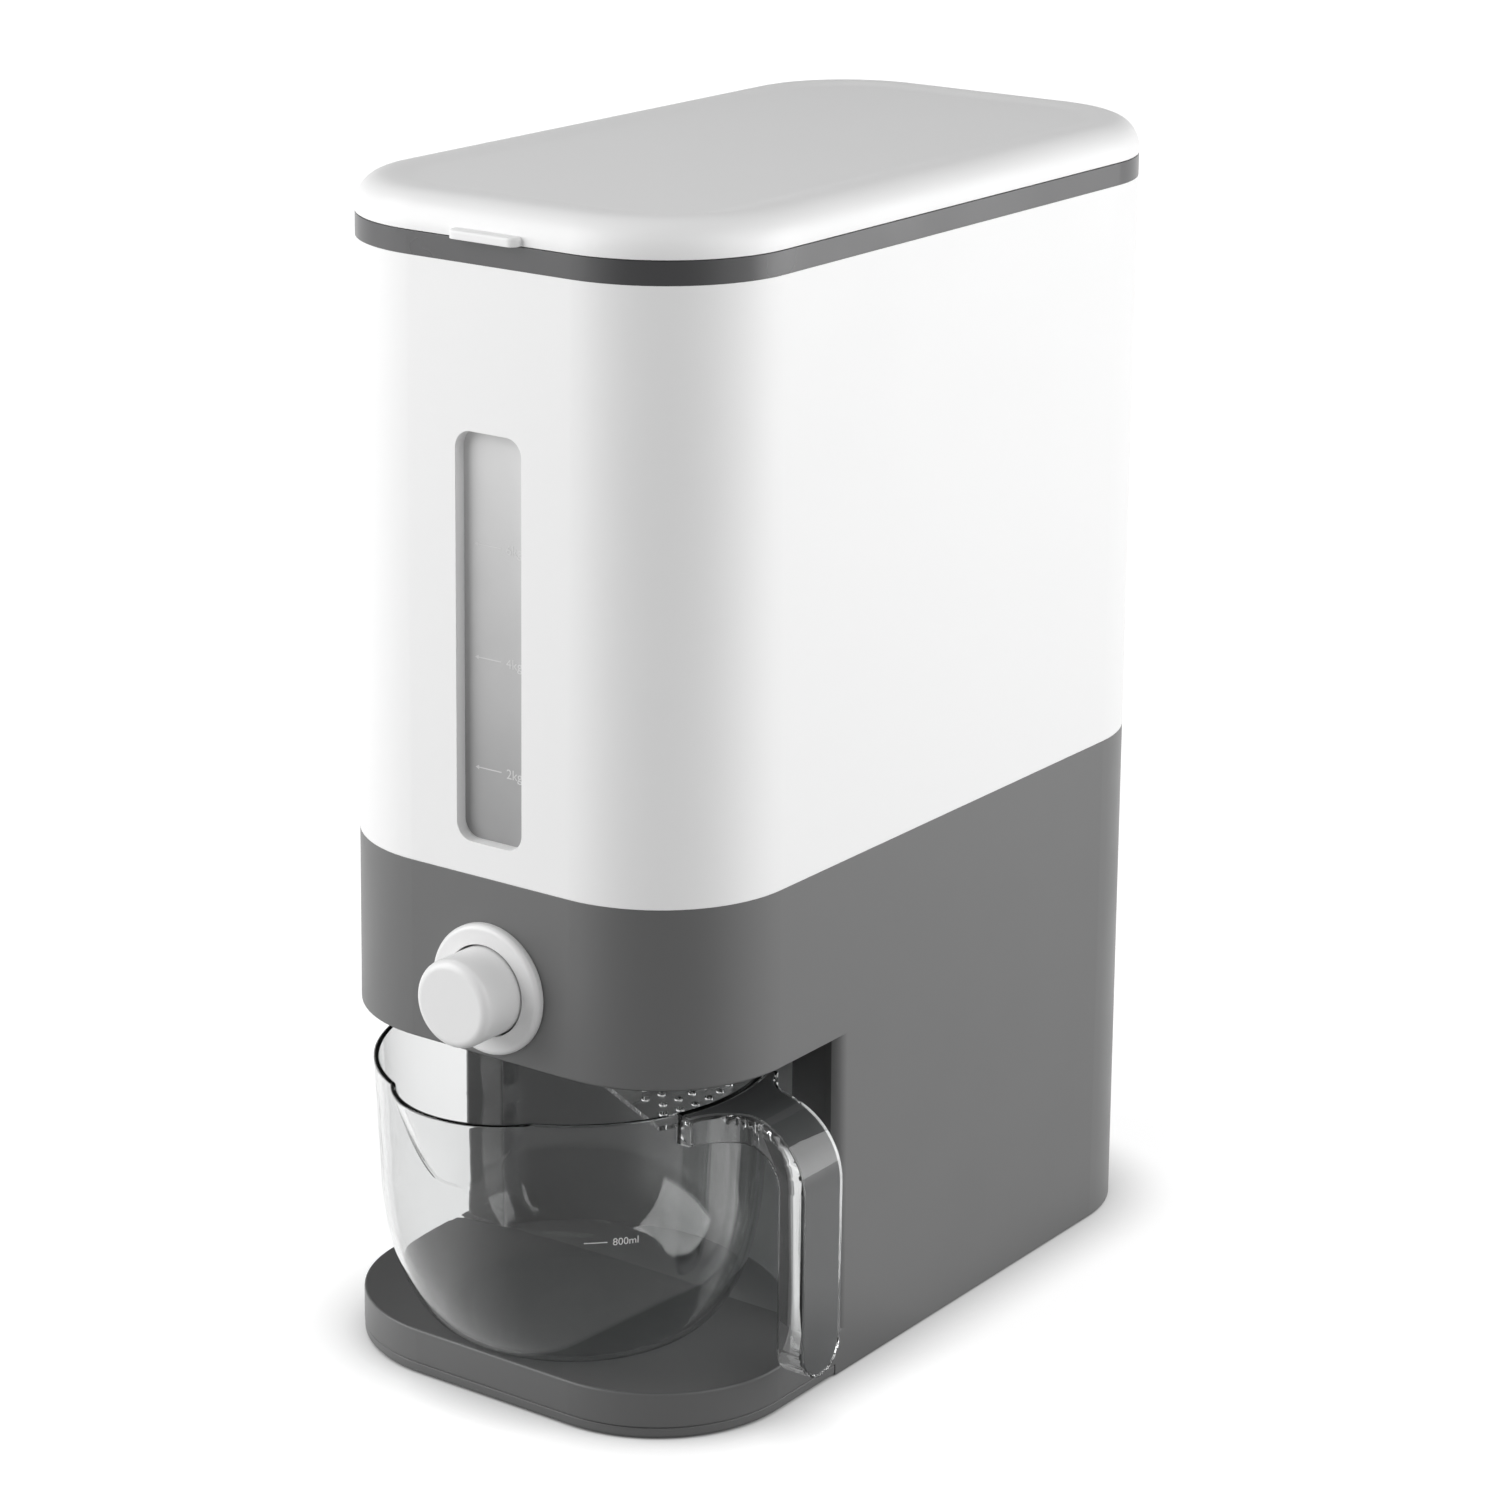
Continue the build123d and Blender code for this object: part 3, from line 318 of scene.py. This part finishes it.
def frosted_pane(name):
    """Frosted window: light grey with painted light that makes it paler towards the top, a little cloudy."""
    material, tree, out = new_material(name)
    place = node(tree, "ShaderNodeTexCoord").outputs["Object"]
    split = node(tree, "ShaderNodeSeparateXYZ", {"Vector": place})
    cloud = between(tree, noise(tree, CLOUD_SIZE, 3.0), -CLOUD_SHIFT * MM, CLOUD_SHIFT * MM)
    level = math_node(tree, "ADD", split.outputs["Z"], cloud)
    # painted light: the grey is paler towards the top of the pane, where light falls in
    pane_painted_light = node(tree, "ShaderNodeMapRange", {
        "Value": level, "From Min": pane_low.z, "From Max": pane_high.z,
    }).outputs["Result"]
    shader = node(tree, "ShaderNodeBsdfPrincipled", {
        "Base Color": shades(tree, pane_painted_light, (0.29, 0.29, 0.292), (0.68, 0.68, 0.68)),
        "Roughness": 0.28,
        "IOR": 1.5,
        "Normal": relief(tree, noise(tree, 1.2), 0.02, 0.3),
    })
    tree.links.new(shader.outputs["BSDF"], out.inputs["Surface"])
    return material


def steel(name, colour, roughness):
    """Plated or drawn steel with fine streaks."""
    material, tree, out = new_material(name)
    streak = noise(tree, 0.8, 4.0)
    shader = node(tree, "ShaderNodeBsdfPrincipled", {
        "Base Color": shades(tree, streak, [c * 0.92 for c in colour], colour),
        "Metallic": 1.0,
        "Roughness": between(tree, streak, roughness - STREAK_SPREAD, roughness + STREAK_SPREAD),
        "Normal": relief(tree, streak, 0.01, 0.15),
    })
    tree.links.new(shader.outputs["BSDF"], out.inputs["Surface"])
    return material


looks = {
    # the second grey is the painted shade in the cup's bay
    "housing_grey": housing_plastic("housing_grey", (0.122, 0.123, 0.123), (0.038, 0.038, 0.038), 0.40),
    "trim_grey": plastic("trim_grey", (0.062, 0.062, 0.064), 0.30, depth=0.008),
    "shell_white": plastic("shell_white", (0.86, 0.86, 0.86), 0.46, spread=0.008),
    "lid_white": plastic("lid_white", (0.86, 0.86, 0.86), 0.42, spread=0.008),
    "button_light_grey": plastic("button_light_grey", (0.80, 0.80, 0.80), 0.33, depth=0.008, spread=0.01),
    "mechanism_white": plastic("mechanism_white", (0.78, 0.78, 0.76), 0.40, spread=0.015),
    "bin_translucent": plastic("bin_translucent", (0.76, 0.77, 0.77), 0.30, depth=0.01),
    "window_frosted": frosted_pane("window_frosted"),
    "cup_clear": clear_plastic("cup_clear"),
    "seal_rubber": plastic("seal_rubber", (0.66, 0.66, 0.66), 0.70, grain=1.0),
    "foot_rubber": plastic("foot_rubber", (0.05, 0.05, 0.05), 0.80, grain=1.0, spread=0.1),
    "screw_steel": steel("screw_steel", (0.62, 0.62, 0.61), 0.32),
    "spring_steel": steel("spring_steel", (0.58, 0.57, 0.56), 0.25),
}
mark_pale = plastic("mark_pale", (0.62, 0.62, 0.62), 0.45, edge=0.05)
inlay_grey = plastic("inlay_grey", (0.060, 0.062, 0.063), 0.40, depth=0.006)

for part in frame["record"]["subparts"]:
    slots = nodes[part["node"]].data.materials
    slots.clear()
    slots.append(looks[part["material_slot"]])


# ---------------------------------------------------------------- making pieces
def piece(name, mesh, material, body):
    """Puts a mesh in the scene as a piece that rides on a body."""
    made = bpy.data.objects.new(name, mesh)
    bpy.context.scene.collection.objects.link(made)
    made.data.materials.clear()
    made.data.materials.append(material)
    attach(made, body)
    return made


def applied(made):
    """The mesh of an object with its modifiers applied."""
    bpy.context.view_layer.update()
    return bpy.data.meshes.new_from_object(made.evaluated_get(bpy.context.evaluated_depsgraph_get()))


def text_mesh(text, size, relief_height):
    """Flat raised figures in the XY plane, starting at the origin."""
    curve = bpy.data.curves.new("figures", "FONT")
    curve.body = text
    curve.size = size * MM
    curve.extrude = relief_height * MM / 2
    curve.resolution_u = 6
    holder = bpy.data.objects.new("figures", curve)
    bpy.context.scene.collection.objects.link(holder)
    mesh = applied(holder)
    bpy.data.objects.remove(holder)
    bpy.data.curves.remove(curve)
    return mesh


def bar_mesh(length, width, height, head=0.0, head_half=0.0):
    """Raised bar in the XY plane from the origin along +X, with an arrowhead at its start if one is given."""
    half = width / 2
    lower = [(0, 0), (head, -head_half), (head, -half), (length, -half)]
    upper = [(length, half), (head, half), (head, head_half)]
    outline = list(dict.fromkeys(lower + upper))
    count = len(outline)
    points = [Vector((x, y, z)) * MM for z in (-height / 2, height / 2) for x, y in outline]
    faces = [tuple(reversed(range(count))), tuple(range(count, 2 * count))]
    for i in range(count):
        j = (i + 1) % count
        faces.append((i, j, j + count, i + count))
    mesh = bpy.data.meshes.new("bar")
    mesh.from_pydata(points, [], faces)
    return mesh


# ---------------------------------------------------------------- window marks
def pane_front(z):
    """Y of the pane's front face at a height in millimetres; the wall leans back as it rises."""
    return pane_low.y + (z * MM - pane_low.z) * DRAFT


def on_pane(mesh, x, z):
    """Stands a flat mesh on the pane's front face, half sunk in."""
    lean = math.radians(90) - math.atan(DRAFT)
    mesh.transform(Matrix.Translation((x * MM, pane_front(z), z * MM)) @ Matrix.Rotation(lean, 4, "X"))
    return mesh


for rise, number in MARK_LEVELS:
    level = pane_low.z / MM + rise
    bar = bar_mesh(MARK_RIGHT - MARK_LEFT, MARK_THICKNESS, MARK_RELIEF, MARK_HEAD, MARK_HEAD_HALF)
    bar = on_pane(bar, MARK_LEFT, level)
    piece(f"level_tick_{number}", bar, mark_pale, "housing")
    base = level - MARK_NUMBER_SIZE * FIGURE_DROP
    figure = on_pane(text_mesh(number + MARK_UNIT, MARK_NUMBER_SIZE, MARK_RELIEF), MARK_NUMBER_X, base)
    piece(f"level_number_{number}", figure, mark_pale, "housing")


# ---------------------------------------------------------------- cup
def bowl_radius(z, inset):
    """Radius of the bowl's round wall at a height, drawn in by a wall thickness."""
    centre = CUP_BOTTOM + CUP_BOWL_HEIGHT
    if z >= centre:
        lean = (CUP_RIM_RADIUS - CUP_WALL_RADIUS) / (CUP_RIM - centre)
        return CUP_WALL_RADIUS - inset + lean * (z - centre)
    down = min(1.0, (centre - z) / (CUP_BOWL_HEIGHT - inset))
    return CUP_FOOT_RADIUS + (CUP_WALL_RADIUS - CUP_FOOT_RADIUS - inset) * math.sqrt(1 - down * down)


def lip_radius(z, angle, inset):
    """Distance from the cup's axis to the pouring lip at a height and angle; None where there is no lip."""
    rise = (z - (CUP_RIM - SPOUT_DEPTH)) / SPOUT_DEPTH
    if rise < 0:
        return None
    radius = SPOUT_TOE_RADIUS + (SPOUT_RADIUS - SPOUT_TOE_RADIUS) * rise + SPOUT_FOLD * (1 - rise) - inset
    toe = CUP_WALL_RADIUS - SPOUT_TOE_RADIUS
    lip = CUP_RIM_RADIUS + SPOUT_REACH - SPOUT_RADIUS
    centre = toe + (lip - toe) * rise
    across = radius ** 2 - (centre * math.sin(angle)) ** 2
    if across < 0 or math.cos(angle) < 0:
        return None
    return centre * math.cos(angle) + math.sqrt(across)


def cup_radius(z, angle, inset):
    """Radius of the cup's wall, bowl and lip joined by a soft crease. The angle is from -Y towards +X."""
    bowl = bowl_radius(z, inset)
    lip = lip_radius(z, angle, inset)
    if lip is None or lip < bowl - 4 * SPOUT_BLEND:
        return bowl
    return (bowl + lip + math.sqrt((bowl - lip) ** 2 + SPOUT_BLEND ** 2)) / 2


def cup_point(radius, angle, z):
    return Vector((radius * math.sin(angle), CUP_Y - radius * math.cos(angle), z)) * MM


def wall_heights(bottom, depth):
    """Heights up a wall: close together where the bottom curves, even above."""
    centre = CUP_BOTTOM + CUP_BOWL_HEIGHT
    curved = [
        centre - depth * math.cos(math.radians(90) * i / CURVE_ROWS) for i in range(CURVE_ROWS + 1)
    ]
    top = CUP_RIM - CUP_RIM_ROUNDING
    straight = [centre + (top - centre) * i / WALL_ROWS for i in range(1, WALL_ROWS + 1)]
    return [max(z, bottom) for z in curved] + straight


def cup_mesh():
    """The bowl as one closed skin: outside, rounded rim, inside."""
    outer_rows = wall_heights(CUP_BOTTOM, CUP_BOWL_HEIGHT)
    inner_rows = wall_heights(CUP_BOTTOM + CUP_WALL, CUP_BOWL_HEIGHT - CUP_WALL)
    form = bmesh.new()
    rows = []
    close = [a / 2 for a in range(-2 * SPOUT_SIDE, 2 * SPOUT_SIDE)]
    angles = [math.radians(a) for a in close + list(range(SPOUT_SIDE, 360 - SPOUT_SIDE))]
    count = len(angles)
    for share in BOTTOM_RINGS:
        rows.append([(CUP_FOOT_RADIUS * share, a, CUP_BOTTOM) for a in angles])
    rows += [[(cup_radius(z, a, 0), a, z) for a in angles] for z in outer_rows]
    top = CUP_RIM - CUP_RIM_ROUNDING
    for i in range(1, RIM_ROWS):
        turn = math.pi * i / RIM_ROWS
        row = []
        for a in angles:
            out, back = cup_radius(top, a, 0), cup_radius(top, a, CUP_WALL)
            middle, half = (out + back) / 2, (out - back) / 2
            row.append((middle + half * math.cos(turn), a, top + CUP_RIM_ROUNDING * math.sin(turn)))
        rows.append(row)
    rows += [[(cup_radius(z, a, CUP_WALL), a, z) for a in angles] for z in reversed(inner_rows)]
    for share in reversed(BOTTOM_RINGS):
        rows.append([(CUP_FOOT_RADIUS * share, a, CUP_BOTTOM + CUP_WALL) for a in angles])
    made = [[form.verts.new(cup_point(*place)) for place in row] for row in rows]
    for low, high in zip(made, made[1:]):
        for i in range(count):
            j = (i + 1) % count
            form.faces.new((low[i], low[j], high[j], high[i]))
    for row, height in ((made[0], CUP_BOTTOM), (made[-1], CUP_BOTTOM + CUP_WALL)):
        middle = form.verts.new(cup_point(0, 0, height))
        for i in range(count):
            form.faces.new((row[i], row[(i + 1) % count], middle))
    bmesh.ops.recalc_face_normals(form, faces=form.faces)
    mesh = bpy.data.meshes.new("clear_cup")
    form.to_mesh(mesh)
    form.free()
    return mesh


def handle_mesh():
    """The handle's own mesh, welded, with its root let into the bowl's wall."""
    form = bmesh.new()
    form.from_mesh(nodes["cup_handle"].data)
    bmesh.ops.remove_doubles(form, verts=form.verts, dist=WELD * MM)
    axis = Vector((0, CUP_Y * MM, 0))
    for v in form.verts:
        flat = Vector((v.co.x - axis.x, v.co.y - axis.y, 0))
        angle = math.atan2(flat.x, -flat.y)
        gap = flat.length / MM - cup_radius(v.co.z / MM, angle, 0)
        if gap < ROOT_NEAR:
            v.co -= flat.normalized() * ROOT_OVERLAP * MM
    mesh = bpy.data.meshes.new("handle_form")
    form.to_mesh(mesh)
    form.free()
    return mesh


def fused(name, first, second):
    """One mesh of two closed meshes that overlap, shaded so that flat faces stay flat."""
    a = bpy.data.objects.new(name, first)
    b = bpy.data.objects.new(name + "_tool", second)
    for made in (a, b):
        bpy.context.scene.collection.objects.link(made)
    union = a.modifiers.new("union", "BOOLEAN")
    union.operation = "UNION"
    union.solver = "EXACT"
    union.object = b
    mesh = applied(a)
    mesh.shade_smooth()
    mesh.set_sharp_from_angle(angle=math.radians(CUP_SHARP_ANGLE))
    union_made = bpy.data.objects.new(name + "_union", mesh)
    bpy.context.scene.collection.objects.link(union_made)
    even = union_made.modifiers.new("even", "WEIGHTED_NORMAL")
    even.keep_sharp = True
    even.weight = 100
    shaded = applied(union_made)
    for made in (a, b, union_made):
        bpy.data.objects.remove(made)
    return shaded


cup = piece("clear_cup", fused("cup", cup_mesh(), handle_mesh()), looks["cup_clear"], "cup")
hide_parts("measuring_cup", "cup_handle")


# ---------------------------------------------------------------- grey inlay in the handle's outer face
def inlay_half(x):
    """Half the inlay's width at a distance from the cup's axis; it flares towards the cup."""
    span = FLARE_END - max(x, CUP_RIM_RADIUS)
    if span <= 0:
        return HANDLE_HALF - INLAY_BORDER
    rise = ROOT_HALF - HANDLE_HALF
    arc = ((FLARE_END - CUP_RIM_RADIUS) ** 2 + rise ** 2) / (2 * rise)
    return HANDLE_HALF - INLAY_BORDER + arc - math.sqrt(arc ** 2 - span ** 2)


def inlay_rows():
    """Rows of points across the inlay, from the cup's rim over the bend to the rounded end."""
    outer = HANDLE_X - INLAY_SINK
    top = CUP_RIM - INLAY_SINK
    turn = HANDLE_BEND - INLAY_SINK
    root = CUP_RIM_RADIUS + INLAY_BORDER
    steps = [i / INLAY_SPOKES for i in range(-INLAY_SPOKES, INLAY_SPOKES + 1)]
    edge = inlay_half(root)
    corner = math.sqrt(root ** 2 - edge ** 2)
    rows = []
    for i in range(INLAY_TOP_ROWS + 1):
        share = i / INLAY_TOP_ROWS
        half = inlay_half(corner + (outer - turn - corner) * share)
        row = []
        for step in steps:
            start = math.sqrt(root ** 2 - (step * edge) ** 2)
            row.append((start + (outer - turn - start) * share, step * half, top))
        rows.append(row)
    for i in range(1, INLAY_BEND_ROWS + 1):
        angle = math.radians(90) * i / INLAY_BEND_ROWS
        x = outer - turn + turn * math.sin(angle)
        rows.append([(x, step * inlay_half(x), top - turn + turn * math.cos(angle)) for step in steps])
    centre = HANDLE_END + HANDLE_HALF
    half = HANDLE_HALF - INLAY_BORDER
    rows.append([(outer, step * half, centre) for step in steps])
    for i in range(1, INLAY_END_ROWS + 1):
        angle = math.radians(INLAY_END_TURN) * i / INLAY_END_ROWS
        rows.append([
            (outer, step * half * math.cos(angle), centre - half * math.sin(angle)) for step in steps
        ])
    return rows


def inlay_mesh():
    """Thin curved plate set in the clear plastic just under the handle's outer face."""
    form = bmesh.new()
    made = [
        [form.verts.new(Vector((x, CUP_Y + y, z)) * MM) for x, y, z in row] for row in inlay_rows()
    ]
    for row, after in zip(made, made[1:]):
        for i in range(len(row) - 1):
            form.faces.new((row[i], after[i], after[i + 1], row[i + 1]))
    mesh = bpy.data.meshes.new("handle_inlay")
    form.to_mesh(mesh)
    form.free()
    holder = bpy.data.objects.new("inlay", mesh)
    bpy.context.scene.collection.objects.link(holder)
    thick = holder.modifiers.new("thick", "SOLIDIFY")
    thick.thickness = INLAY_THICKNESS * MM
    thick.offset = -1
    mesh = applied(holder)
    bpy.data.objects.remove(holder)
    mesh.shade_smooth()
    mesh.set_sharp_from_angle(angle=math.radians(INLAY_SHARP_ANGLE))
    return mesh


piece("handle_inlay", inlay_mesh(), inlay_grey, "cup")


# ---------------------------------------------------------------- figures and moulding dots on the cup
def round_cup(mesh, start_angle, z):
    """Wraps a flat mesh round the outside of the bowl from an angle in degrees, half sunk in."""
    radius = bowl_radius(z, 0)
    for v in mesh.vertices:
        height = z + v.co.y / MM
        angle = math.radians(start_angle) + v.co.x / MM / radius
        v.co = cup_point(cup_radius(height, angle, 0) + v.co.z / MM, angle, height)
    return mesh


tick = bar_mesh(CUP_MARK_LENGTH, CUP_MARK_WIDTH, MARK_RELIEF)
piece("cup_tick", round_cup(tick, CUP_MARK_START, CUP_MARK_Z), mark_pale, "cup")
number_turn = (CUP_MARK_LENGTH + CUP_NUMBER_GAP) / bowl_radius(CUP_MARK_Z, 0)
number_angle = CUP_MARK_START + math.degrees(number_turn)
figures = text_mesh(CUP_NUMBER, CUP_NUMBER_SIZE, MARK_RELIEF)
figures = round_cup(figures, number_angle, CUP_MARK_Z - CUP_NUMBER_SIZE * FIGURE_DROP)
piece("cup_number", figures, mark_pale, "cup")
dots = text_mesh("..", MOULD_DOT_SIZE, MARK_RELIEF)
dots = round_cup(dots, MOULD_DOT_START, CUP_BOTTOM + MOULD_DOT_RISE)
piece("mould_dots", dots, looks["cup_clear"], "cup")


# ---------------------------------------------------------------- return spring
def make_spring():
    """The spring's own coil between the button and its seat, a copy of the imported one that rides on the
    button.
    """
    mesh = nodes["return_spring"].data.copy()
    coil = piece("spring_coil", mesh, looks["spring_steel"], "button")
    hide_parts("return_spring")
    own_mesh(coil)


make_spring()


# ---------------------------------------------------------------- floor, light and camera
def white_share(tree, place):
    """1 for camera rays; mirrored and transmitted rays get less of it towards the dark side of the room."""
    path = node(tree, "ShaderNodeLightPath")
    other = math_node(tree, "MAXIMUM", path.outputs["Is Glossy Ray"], path.outputs["Is Transmission Ray"])
    flat = node(
        tree, "ShaderNodeVectorMath", {0: place, 1: (1, 1, 0)}, operation="MULTIPLY"
    ).outputs["Vector"]
    ahead = node(tree, "ShaderNodeVectorMath", {0: flat}, operation="NORMALIZE").outputs["Vector"]
    along = node(
        tree, "ShaderNodeVectorMath", {0: ahead, 1: DARK_SIDE}, operation="DOT_PRODUCT"
    ).outputs["Value"]
    share = node(tree, "ShaderNodeMapRange", {
        "Value": along, "From Min": DARK_FROM, "From Max": DARK_FULL, "To Min": 1.0, "To Max": DARK_SHARE,
    }).outputs["Result"]
    mirrored = math_node(tree, "MULTIPLY", other, share)
    return math_node(tree, "MAXIMUM", path.outputs["Is Camera Ray"], mirrored)


def make_floor():
    """Floor that keeps the object's shadow; what is seen of it is lifted to white, less so by the object."""
    mesh = bpy.data.meshes.new("floor")
    corner = FLOOR_REACH
    mesh.from_pydata(
        [(-corner, -corner, 0), (corner, -corner, 0), (corner, corner, 0), (-corner, corner, 0)],
        [], [(0, 1, 2, 3)],
    )
    floor = bpy.data.objects.new("floor", mesh)
    bpy.context.scene.collection.objects.link(floor)
    material, tree, out = new_material("floor_white")
    matte = node(tree, "ShaderNodeBsdfDiffuse", {"Color": (*FLOOR_COLOUR, 1)})
    place = node(tree, "ShaderNodeTexCoord").outputs["Object"]
    distance = node(tree, "ShaderNodeVectorMath", {0: place}, operation="LENGTH").outputs["Value"]
    lift = node(tree, "ShaderNodeMapRange", {
        "Value": distance,
        "From Min": FLOOR_NEAR, "From Max": FLOOR_FAR, "To Min": FLOOR_LIFT, "To Max": FLOOR_LIFT_FAR,
    }).outputs["Result"]
    open_sky = node(
        tree, "ShaderNodeAmbientOcclusion", {"Distance": CONTACT_REACH}, samples=16
    ).outputs["AO"]
    contact = math_node(tree, "POWER", open_sky, CONTACT_POWER)
    level = math_node(tree, "MULTIPLY", white_share(tree, place), math_node(tree, "MULTIPLY", lift, contact))
    glow = node(tree, "ShaderNodeEmission", {"Color": (1, 1, 1, 1), "Strength": level})
    both = node(tree, "ShaderNodeAddShader")
    tree.links.new(matte.outputs["BSDF"], both.inputs[0])
    tree.links.new(glow.outputs["Emission"], both.inputs[1])
    tree.links.new(both.outputs["Shader"], out.inputs["Surface"])
    mesh.materials.append(material)


def make_world():
    """White for the camera and along the horizon; a dim even fill and a dark ceiling for the object."""
    world = bpy.data.worlds.new("studio")
    bpy.context.scene.world = world
    world.use_nodes = True
    tree = world.node_tree
    tree.nodes.clear()
    path = node(tree, "ShaderNodeLightPath")
    ahead = node(tree, "ShaderNodeTexCoord").outputs["Generated"]
    height = node(tree, "ShaderNodeSeparateXYZ", {"Vector": ahead}).outputs["Z"]
    backdrop = node(tree, "ShaderNodeMapRange", {
        "Value": height,
        "From Min": BACKDROP_FULL, "From Max": BACKDROP_END, "To Min": 1.0, "To Max": CEILING,
    }).outputs["Result"]
    seen = math_node(tree, "MULTIPLY", backdrop, white_share(tree, ahead))
    fill = math_node(tree, "MULTIPLY", path.outputs["Is Diffuse Ray"], FILL)
    level = math_node(tree, "MAXIMUM", math_node(tree, "MAXIMUM", seen, fill), path.outputs["Is Camera Ray"])
    back = node(tree, "ShaderNodeBackground", {"Color": (1, 1, 1, 1), "Strength": level})
    out = node(tree, "ShaderNodeOutputWorld")
    tree.links.new(back.outputs["Background"], out.inputs["Surface"])


def softbox(name, place, aim, width, height, radiance):
    """Large soft lamp, as bright as the given radiance; white is 1."""
    lamp = bpy.data.lights.new(name, "AREA")
    lamp.shape = "RECTANGLE"
    lamp.size, lamp.size_y = width, height
    lamp.energy = math.pi * width * height * radiance
    made = bpy.data.objects.new(name, lamp)
    bpy.context.scene.collection.objects.link(made)
    made.location = place
    made.rotation_euler = (Vector(aim) - Vector(place)).to_track_quat("-Z", "Y").to_euler()
    made.visible_camera = False


def make_camera():
    data = bpy.data.cameras.new("camera")
    data.lens, data.sensor_width = CAMERA_FOCAL, CAMERA_SENSOR
    made = bpy.data.objects.new("camera", data)
    bpy.context.scene.collection.objects.link(made)
    yaw, pitch, roll = (math.radians(a) for a in (CAMERA_YAW, CAMERA_PITCH, CAMERA_ROLL))
    ahead = Vector((-math.sin(yaw) * math.cos(pitch), math.cos(yaw) * math.cos(pitch), -math.sin(pitch)))
    level = Vector((math.cos(yaw), math.sin(yaw), 0))
    upright = level.cross(ahead)
    right = level * math.cos(roll) + upright * math.sin(roll)
    up = upright * math.cos(roll) - level * math.sin(roll)
    turn = Matrix((right, up, -ahead)).transposed()
    made.matrix_world = Matrix.Translation(Vector(CAMERA_PLACE) * MM) @ turn.to_4x4()
    bpy.context.scene.camera = made


make_floor()
make_world()
for name, place, width, height, radiance in SOFTBOXES:
    softbox(name, place, SOFTBOX_AIM, width, height, radiance)
make_camera()
bpy.context.scene.view_settings.view_transform = "Standard"
